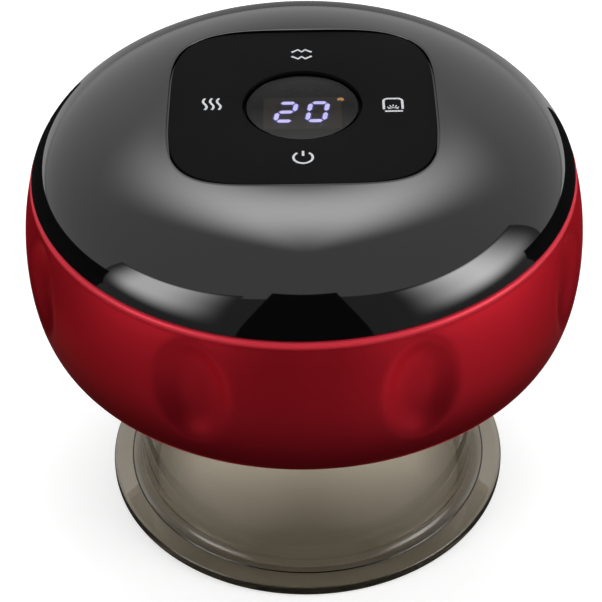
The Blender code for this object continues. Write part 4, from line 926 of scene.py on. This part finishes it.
def stroke(name, lines, width, level, place):
    """Printed lines: flat paths in millimetres, thickened round, made a mesh and pressed on the panel."""
    curve = bpy.data.curves.new(name, "CURVE")
    curve.dimensions = "3D"
    curve.bevel_depth = width / 2
    curve.bevel_resolution = 3
    curve.use_fill_caps = True
    for line in lines:
        spline = curve.splines.new("POLY")
        spline.points.add(len(line) - 1)
        for point, (x, y) in zip(spline.points, line):
            point.co = (x * MILLIMETRE, y * MILLIMETRE, 0, 1)
    obj = bpy.data.objects.new(name, curve)
    bpy.context.scene.collection.objects.link(obj)
    select_only(obj)
    bpy.ops.object.convert(target="MESH")
    mend(obj)
    obj.scale = (1, 1, PRINT_FLATNESS)
    obj.location = (*place, level)
    return settle(obj)


def arc(centre, radius, start, end, steps):
    points = []
    for step in range(steps + 1):
        angle = radians(start + (end - start) * step / steps)
        points.append((centre[0] + radius * cos(angle), centre[1] + radius * sin(angle)))
    return points


class MASSAGER_OT_symbols(bpy.types.Operator):
    """Prints the four touch key symbols on the panel"""

    bl_idname = "massager.symbols"
    bl_label = "Print symbols"

    def execute(self, context):
        sizes = context.scene.massager_panel
        width, away = sizes.line_width, sizes.symbol_place
        zigzag = [(-1.65, 0), (-0.60, 0.78), (0, 0.12), (0.60, 0.78), (1.65, 0)]
        upper = [(x, 0.60 + y) for x, y in zigzag]
        lower = [(x, -0.56 - y) for x, y in zigzag]
        waves = []
        for middle in (-1.12, 0, 1.12):
            waves.append([(middle - 0.30 * sin(pi * s / 8), 1.60 * s / 8) for s in range(8, -9, -1)])
        arch = [(-1.50, -1.35), (-1.50, 0.70), *arc((-0.80, 0.90), 0.70, 180, 90, 8)]
        arch += [*arc((0.80, 0.90), 0.70, 90, 0, 8), (1.50, 0.70), (1.50, -1.35)]
        rays = []
        for turn in (155, 122, 90, 58, 25):
            across, up = cos(radians(turn)), sin(radians(turn))
            rays.append([(0.62 * across, -1.25 + 0.62 * up), (1.05 * across, -1.25 + 1.15 * up)])
        glow = arc((0, -2.1), 1.15, 135, 45, 8)
        base = [(-1.35, -1.90), (1.50, -1.90)]
        power = arc((0, 0.05), 1.50, 128, 412, 32)
        bar = [(0, 1.75), (0, 0.45)]
        prints = {
            "symbol_massage": ([upper, lower], width * 1.12, (0, away)),
            "symbol_heat": (waves, width, (-away, 0.0004)),
            "symbol_suction": ([arch, base], width, (away, -0.0004)),
            "symbol_suction_rays": ([*rays, glow], width * 0.5, (away, -0.0004)),
            "symbol_power": ([power, bar], width, (0, -away)),
        }
        for name, (lines, line_width, place) in prints.items():
            made = stroke(name, lines, line_width, PANEL_HIGH.z, place)
            finish_piece(made, "print_grey")
        return {"FINISHED"}


# A digit's segments: where their middle is across and up, in halves of the digit, and if they are upright
SEGMENTS = {
    "a": (0, 1, False),
    "g": (0, 0, False),
    "d": (0, -1, False),
    "f": (-1, 0.5, True),
    "b": (1, 0.5, True),
    "e": (-1, -0.5, True),
    "c": (1, -0.5, True),
}
LIT = {"2": "abged", "0": "abcdef"}


def segment(name, sizes, key, middle, level, swell=0.0):
    """One bar of a digit: a six-sided primitive stretched, turned, leant over and given its thickness."""
    across, up, upright = SEGMENTS[key]
    half_width = (sizes.digit_width - sizes.segment_width) / 2
    half_height = (sizes.digit_height - sizes.segment_width) / 2
    long = (half_height if upright else 2 * half_width) - DIGIT_GAP + 2 * swell
    width = sizes.segment_width + 2 * swell
    deselect_all()
    bpy.ops.mesh.primitive_cylinder_add(vertices=6, radius=0.5, depth=1)
    obj = named(name)
    for vert in obj.data.vertices:
        x, y, z = vert.co
        # Two points lie at the ends of the bar, and four at its sides
        along = y * 2
        side = x / HEXAGON_SIDE
        reach = long / 2 - (width / 2 if abs(along) < 0.9 else 0)
        along = (1 if along > 0 else -1) * (reach if abs(along) > 0.1 else 0)
        place = Vector((side * width / 2, along))
        if not upright:
            place = Vector((place.y, -place.x))
        place += Vector((across * half_width, up * half_height))
        place.x += tan(sizes.digit_slant) * place.y
        vert.co = (middle + place.x, place.y + DIGIT_RISE, level + z * SEGMENT_THICKNESS)
    return obj


class MASSAGER_OT_display(bpy.types.Operator):
    """Models the window and the two-digit display behind it"""

    bl_idname = "massager.display"
    bl_label = "Make display"

    def execute(self, context):
        sizes = context.scene.massager_panel
        edge, low, high = LENS_HIGH.x, LENS_LOW.z, LENS_HIGH.z
        corners = [(0, low), (edge, low), (edge, high), (0, high)]
        lens = turned("window_lens", rounded(corners, {1: PANEL_EDGE / 3, 2: PANEL_EDGE}))
        finish_piece(lens, "smoked_window", ["display_window"], 20)

        deselect_all()
        bpy.ops.mesh.primitive_cube_add(size=1, location=(MODULE_LOW + MODULE_HIGH) / 2)
        block = named("display_block")
        block.scale = MODULE_HIGH - MODULE_LOW
        settle(block)
        bpy.ops.object.mode_set(mode="EDIT")
        bm = bmesh.from_edit_mesh(block.data)
        for face in bm.faces:
            face.select = face.normal.z > 0.9
        bm.select_flush_mode()
        bmesh.update_edit_mesh(block.data)
        bpy.ops.mesh.inset(thickness=FACE_INSET)
        bpy.ops.transform.translate(value=(0, 0, -FACE_DEPTH))
        bpy.ops.object.mode_set(mode="OBJECT")
        apply_modifier(block, "BEVEL", width=BLOCK_ROUND, segments=2, limit_method="ANGLE")
        finish_piece(block, "display_face", ["display_module"])

        face_level = MODULE_HIGH.z - FACE_DEPTH
        bars = {"digits_lit": [], "digits_halo": [], "segment_dark": []}
        for index, digit in enumerate("20"):
            middle = (index - 0.5) * sizes.digit_pitch + DIGIT_SHIFT
            for key in SEGMENTS:
                lit = key in LIT[digit]
                made = segment(f"segment_{digit}_{key}", sizes, key, middle, face_level)
                bars["digits_lit" if lit else "segment_dark"].append(made)
                if lit:
                    name = f"halo_{digit}_{key}"
                    halo = segment(name, sizes, key, middle, face_level - HALO_DROP, HALO_SWELL)
                    bars["digits_halo"].append(halo)
        for finish, made in bars.items():
            digits = join(*made)
            digits.name = "digits_unlit" if finish == "segment_dark" else finish
            finish_piece(digits, finish)

        deselect_all()
        bpy.ops.mesh.primitive_uv_sphere_add(segments=24, ring_count=12, radius=DOT_RADIUS)
        lamp = named("standby_lamp")
        lamp.scale = DOT_SHAPE
        lamp.location = (*DOT_PLACE, face_level)
        settle(lamp)
        finish_piece(lamp, "dot_lit")
        return {"FINISHED"}


class MASSAGER_OT_cup(bpy.types.Operator):
    """Models the smoky suction cup with its wide flat rim"""

    bl_idname = "massager.cup"
    bl_label = "Make cup"

    def execute(self, context):
        sizes = context.scene.massager_cup
        bore = sizes.radius - sizes.wall
        height, thick = CUP_HIGH.z, sizes.rim_thickness
        step = sizes.radius + sizes.fillet
        line = sizes.line_width / 2
        corners = [
            (bore + MOUTH_BEVEL, 0),
            (CUP_HIGH.x, 0),
            (CUP_HIGH.x, thick),
            (step + 2 * line, thick),
            (step + line, thick - line),
            (step, thick),
            (sizes.radius, thick),
            (sizes.radius, height),
            (bore, height),
            (bore, MOUTH_BEVEL),
        ]
        radii = {1: RIM_ROUND, 2: RIM_ROUND, 7: TOP_ROUND, 8: TOP_ROUND, 9: MOUTH_ROUND}
        radii[6] = sizes.fillet - WELD
        cup = turned("cup_shell", held(rounded(corners, radii, 6)), CUP_POINTS)
        finish_piece(cup, "cup_smoke", ["suction_cup"], 30, body="cup")
        # The groove at the fillet takes the painted dark line
        second_finish(cup, "cup_shade_line", lambda radius, z: step < radius < step + 2 * line and z > thick / 2)
        return {"FINISHED"}


# Which solids take which finish
NODE_FINISHES = {
    "base_black": ["base_cover", "filter_cap"],
    "seal_rubber": ["cup_seal", "pump_diaphragm", "pump_mount"],
    "window_clear": ["light_window"],
    "lamp_red": ["heat_lamp_*"],
    "filter_felt": ["air_filter"],
    "board_green": ["main_board", "lamp_board", "charge_board"],
    "chip_black": ["control_chip", "buzzer", "pump_housing", "pump_valve_plate", "pump_head"],
    "nylon_white": [
        "battery_cradle",
        "motor_cap",
        "drive_eccentric",
        "wobble_plate",
        "pressure_sensor",
        "valve_body",
    ],
    "spring_steel": ["touch_spring_*", "valve_spring", "*_screw_*"],
    "can_steel": ["motor_can", "valve_yoke", "valve_plunger", "usb_socket"],
    "magnet_grey": ["motor_magnet"],
    "coil_copper": ["motor_rotor", "valve_coil"],
    "cell_wrap": ["battery_cell"],
    "silicone_clear": ["pump_hose", "valve_hose", "sensor_hose"],
    "wire_red": ["battery_wire", "motor_wire", "lamp_wire"],
}
# Solids whose sharp edges are softened, and how wide
SOFT_EDGES = {"usb_socket": 0.00006, "control_chip": 0.0001, "motor_can": 0.0003, "battery_cell": 0.0006}
SOFT_EDGES |= dict.fromkeys(("base_cover", "filter_cap", "light_window", "battery_cradle"), 0.0002)
SOFT_EDGES |= dict.fromkeys(("pump_housing", "pump_head", "valve_body", "valve_yoke"), 0.0002)
SOFT_EDGES |= dict.fromkeys(("buzzer", "pressure_sensor"), 0.0002)


def merged_copy(name):
    """A copy of a solid, its loose triangles joined into one skin and its sharp edges softened."""
    select_only(NODES[name])
    bpy.ops.object.duplicate()
    copy = named(f"{name}_skin")
    del copy["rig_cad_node"]
    copy.parent = None
    bpy.ops.object.mode_set(mode="EDIT")
    bpy.ops.mesh.select_all(action="SELECT")
    bpy.ops.mesh.remove_doubles(threshold=WELD)
    if name in SOFT_EDGES:
        bpy.ops.mesh.dissolve_limited(angle_limit=radians(0.5))
    bpy.ops.object.mode_set(mode="OBJECT")
    if name in SOFT_EDGES:
        values = {"width": SOFT_EDGES[name], "limit_method": "ANGLE", "angle_limit": radians(50)}
        apply_modifier(copy, "BEVEL", segments=2, **values)
    return copy


class MASSAGER_OT_solids(bpy.types.Operator):
    """Gives the solids that stay their finishes, with smooth curves and softened edges"""

    bl_idname = "massager.solids"
    bl_label = "Finish solids"

    def execute(self, context):
        for finish, patterns in NODE_FINISHES.items():
            for name, node in NODES.items():
                if any(fnmatch(name, pattern) for pattern in patterns):
                    node.data.materials.clear()
                    node.data.materials.append(bpy.data.materials[f"{finish}_finish"])
                    finish_piece(merged_copy(name), finish, [name], 40, body=BODY_OF[name])
        spring = bpy.data.objects["valve_spring_skin"]
        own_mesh(spring)
        return {"FINISHED"}


def between(ends, share):
    return ends[0] + (ends[1] - ends[0]) * share


def studio_card(name, distance, foot, low, high, lift, head=None):
    """A curved card seen from the dome: its azimuths at its foot, and at its head where those differ, front at
    0 and right at 90, and the elevations of its lower and upper edges at each end. What would lie under the
    floor lies on it."""
    deselect_all()
    bpy.ops.mesh.primitive_grid_add(x_subdivisions=64, y_subdivisions=96, size=1)
    obj = named(name)
    head = head or foot
    for vert in obj.data.vertices:
        across, up = vert.co.x + 0.5, vert.co.y + 0.5
        start, end = between((foot[0], head[0]), up), between((foot[1], head[1]), up)
        azimuth = radians(between((start, end), across))
        elevation = radians(between((between(low, across), between(high, across)), up))
        away = distance
        if elevation < 0:
            away = min(distance, (STUDIO_CENTRE.z - lift) / sin(-elevation))
        flat = max(away * cos(elevation), CUP_HIGH.x)
        arm = Vector((flat * sin(azimuth), -flat * cos(azimuth), away * sin(elevation)))
        vert.co = STUDIO_CENTRE + arm
    return obj


def light_card(obj, light, surround, fades, lamp):
    """Makes a card glow: its light fades towards each edge. Only a lamp reaches more than glossy surfaces."""
    made = bpy.data.materials.new(f"{obj.name}_light")
    made.use_nodes = True
    tree = made.node_tree
    tree.nodes.clear()
    widths = dict(zip(SIDES, fades))
    colours = {"Light": (light, light, light, 1), "Surround": (surround, surround, surround, 1)}
    fade = group_node(tree, "softbox_fade", **widths, **colours)
    glow = add_node(tree, "ShaderNodeEmission", {"Color": fade.outputs["Color"], "Strength": 1.0})
    add_node(tree, "ShaderNodeOutputMaterial", {"Surface": glow.outputs["Emission"]})
    obj.data.materials.append(made)
    obj.visible_camera = False
    obj.visible_transmission = lamp
    obj.visible_diffuse = lamp
    obj.visible_shadow = False


def set_floor(sizes):
    """The floor: it looks white to the camera, and the cup gathers light on it."""
    deselect_all()
    bpy.ops.mesh.primitive_plane_add(size=FLOOR_SIZE, location=(0, 0, FLOOR_LEVEL))
    floor = named("studio_floor")
    constants = {"Roughness": 0.9, "Specular_IOR_Level": 0.1, "Emission_Strength": 1.0}
    tree, inputs = principled("studio_floor", (sizes.floor_grey,) * 3, **constants)
    path = add_node(tree, "ShaderNodeLightPath").outputs
    gathered = group_node(tree, "gathered_light").outputs["Strength"]
    glass = maths(tree, "MULTIPLY", path["Is Transmission Ray"], gathered)
    seen = maths(tree, "MULTIPLY_ADD", path["Is Camera Ray"], FLOOR_GLOW, glass)
    tree.links.new(seen, inputs["Emission Color"])
    floor.data.materials.append(bpy.data.materials["studio_floor_finish"])


def set_tent(scene, level):
    """The white tent: it looks white to the camera and through the cup, and lights at its own level."""
    world = bpy.data.worlds.new("white_tent")
    scene.world = world
    world.use_nodes = True
    tree = world.node_tree
    path = add_node(tree, "ShaderNodeLightPath").outputs
    seen = maths(tree, "MAXIMUM", path["Is Camera Ray"], path["Is Transmission Ray"])
    background = tree.nodes["Background"].inputs
    background["Color"].default_value = (1, 1, 1, 1)
    tree.links.new(map_range(tree, seen, low=level), background["Strength"])


def set_cards(level):
    """The softboxes, the dim and dark cards between them, and the cards on the floor."""
    dim, dark = level * 0.30, level * 0.02
    plain, crisp, wide = (0.001, 0.001, 0.42, 0.001), (0.03, 0.03, 0.03, 0.03), (0.32, 0.32, 0.001, 0.001)
    # Light, surround, fades at left, right, bottom and top, azimuths, lower and upper edges, and lift
    cards = {
        "softbox_back": (3.9, level, (0.39, 0.39, 0.54, 0.45), (118, 242), (33, 33), (90, 90), 0.0004),
        "softbox_left": (4.5, dim, (0.26, 0.62, 0.60, 0.06), (-82, -30), (-2, -2), (30, 50), 0.0004),
        "softbox_right": (5.8, dim, (0.55, 0.48, 0.55, 0.06), (38, 102), (-4, -4), (46, 32), 0.0004),
        "dim_card_left": (dim, dim * 0.4, plain, (-82, 0), (-36, -29), (29, 57), 0.0004),
        "dim_card_right": (dim, dim * 0.4, plain, (0, 102), (-29, -36), (57, 30), 0.0004),
        "dark_card_front": (dark, dark, crisp, (-28, 27), (-30, -30), (57, 57), 0.0010, (-18, 17)),
        "dark_card_left": (dark, dark, crisp, (-155, -80), (-38, -33), (-15, 14), 0.0008),
        "dark_card_right": (dark, dark, crisp, (91, 148), (-33, -38), (6, -12), 0.0008),
        # The near floor card is a painted shadow: the floor dark round the object's foot, seen only in
        # reflections. The other floor cards fade to a dim surround towards the object, painted shade too.
        "floor_card_near": (0.05, 0.40, wide, (-180, 180), (-75, -75), (-44, -44), 0.0002),
        "floor_card_left": (1.80, 0.16, (0.64, 0.42, 0.95, 0.001), (-180, 0), (-44, -44), (-3, -3), 0.0002),
        "floor_card_right": (3.90, 0.16, (0.42, 0.95, 0.95, 0.001), (0, 180), (-44, -44), (-3, -3), 0.0002),
    }
    for name, (light, surround, fades, *shape) in cards.items():
        kind = name.rpartition("_")[0]
        card = studio_card(name, CARD_DISTANCES[kind], *shape)
        light_card(card, light, surround, fades, kind == "softbox")


def set_camera(scene, sizes):
    """The camera at the photograph's viewing angle."""
    data = bpy.data.cameras.new("photo_camera")
    camera = bpy.data.objects.new("photo_camera", data)
    scene.collection.objects.link(camera)
    data.sensor_width = SENSOR_WIDTH
    data.lens = SENSOR_WIDTH * sizes.view_width
    data.shift_x = sizes.shift
    data.clip_start = 0.01
    flat = sizes.distance * cos(sizes.elevation)
    camera.location = (0, -flat, sizes.target_height + sizes.distance * sin(sizes.elevation))
    camera.rotation_euler = (pi / 2 - sizes.elevation, 0, 0)
    turned_view = camera.rotation_euler.to_matrix() @ Matrix.Rotation(sizes.roll, 3, "Z")
    camera.rotation_euler = turned_view.to_euler()
    scene.camera = camera


class MASSAGER_OT_studio(bpy.types.Operator):
    """Sets the pale floor, the white tent, the softboxes, the dark cards and the camera"""

    bl_idname = "massager.studio"
    bl_label = "Set studio"

    def execute(self, context):
        sizes = context.scene.massager_studio
        set_floor(sizes)
        set_tent(context.scene, sizes.tent_level)
        set_cards(sizes.tent_level)
        set_camera(context.scene, sizes)
        context.scene.view_settings.view_transform = "Standard"
        return {"FINISHED"}


class MASSAGER_PT_panel(bpy.types.Panel):
    """Lists the massager's pieces in the sidebar"""

    bl_label = "Massager"
    bl_idname = "MASSAGER_PT_panel"
    bl_space_type = "VIEW_3D"
    bl_region_type = "UI"
    bl_category = "Massager"

    def draw(self, context):
        layout = self.layout
        for group in GROUPS:
            box = layout.box()
            settings = getattr(context.scene, group)
            for name in settings.bl_rna.properties.keys():
                if name not in ("rna_type", "name"):
                    box.prop(settings, name)
        for operator in OPERATORS:
            layout.operator(operator.bl_idname)


GROUPS = {
    "massager_shell": ShellSizes,
    "massager_panel": PanelSizes,
    "massager_cup": CupSizes,
    "massager_finishes": Finishes,
    "massager_studio": StudioSizes,
}
OPERATORS = [
    MASSAGER_OT_finishes,
    MASSAGER_OT_dome,
    MASSAGER_OT_ring,
    MASSAGER_OT_panel,
    MASSAGER_OT_symbols,
    MASSAGER_OT_display,
    MASSAGER_OT_cup,
    MASSAGER_OT_solids,
    MASSAGER_OT_studio,
]


def register():
    for name, group in GROUPS.items():
        bpy.utils.register_class(group)
        setattr(bpy.types.Scene, name, PointerProperty(type=group))
    for operator in OPERATORS:
        bpy.utils.register_class(operator)
    bpy.utils.register_class(MASSAGER_PT_panel)


def unregister():
    bpy.utils.unregister_class(MASSAGER_PT_panel)
    for operator in reversed(OPERATORS):
        bpy.utils.unregister_class(operator)
    for name, group in GROUPS.items():
        delattr(bpy.types.Scene, name)
        bpy.utils.unregister_class(group)


def main():
    register()
    bpy.ops.massager.finishes()
    bpy.ops.massager.dome()
    bpy.ops.massager.ring()
    bpy.ops.massager.panel()
    bpy.ops.massager.symbols()
    bpy.ops.massager.display()
    bpy.ops.massager.cup()
    bpy.ops.massager.solids()
    bpy.ops.massager.studio()


if __name__ == "__main__":
    main()
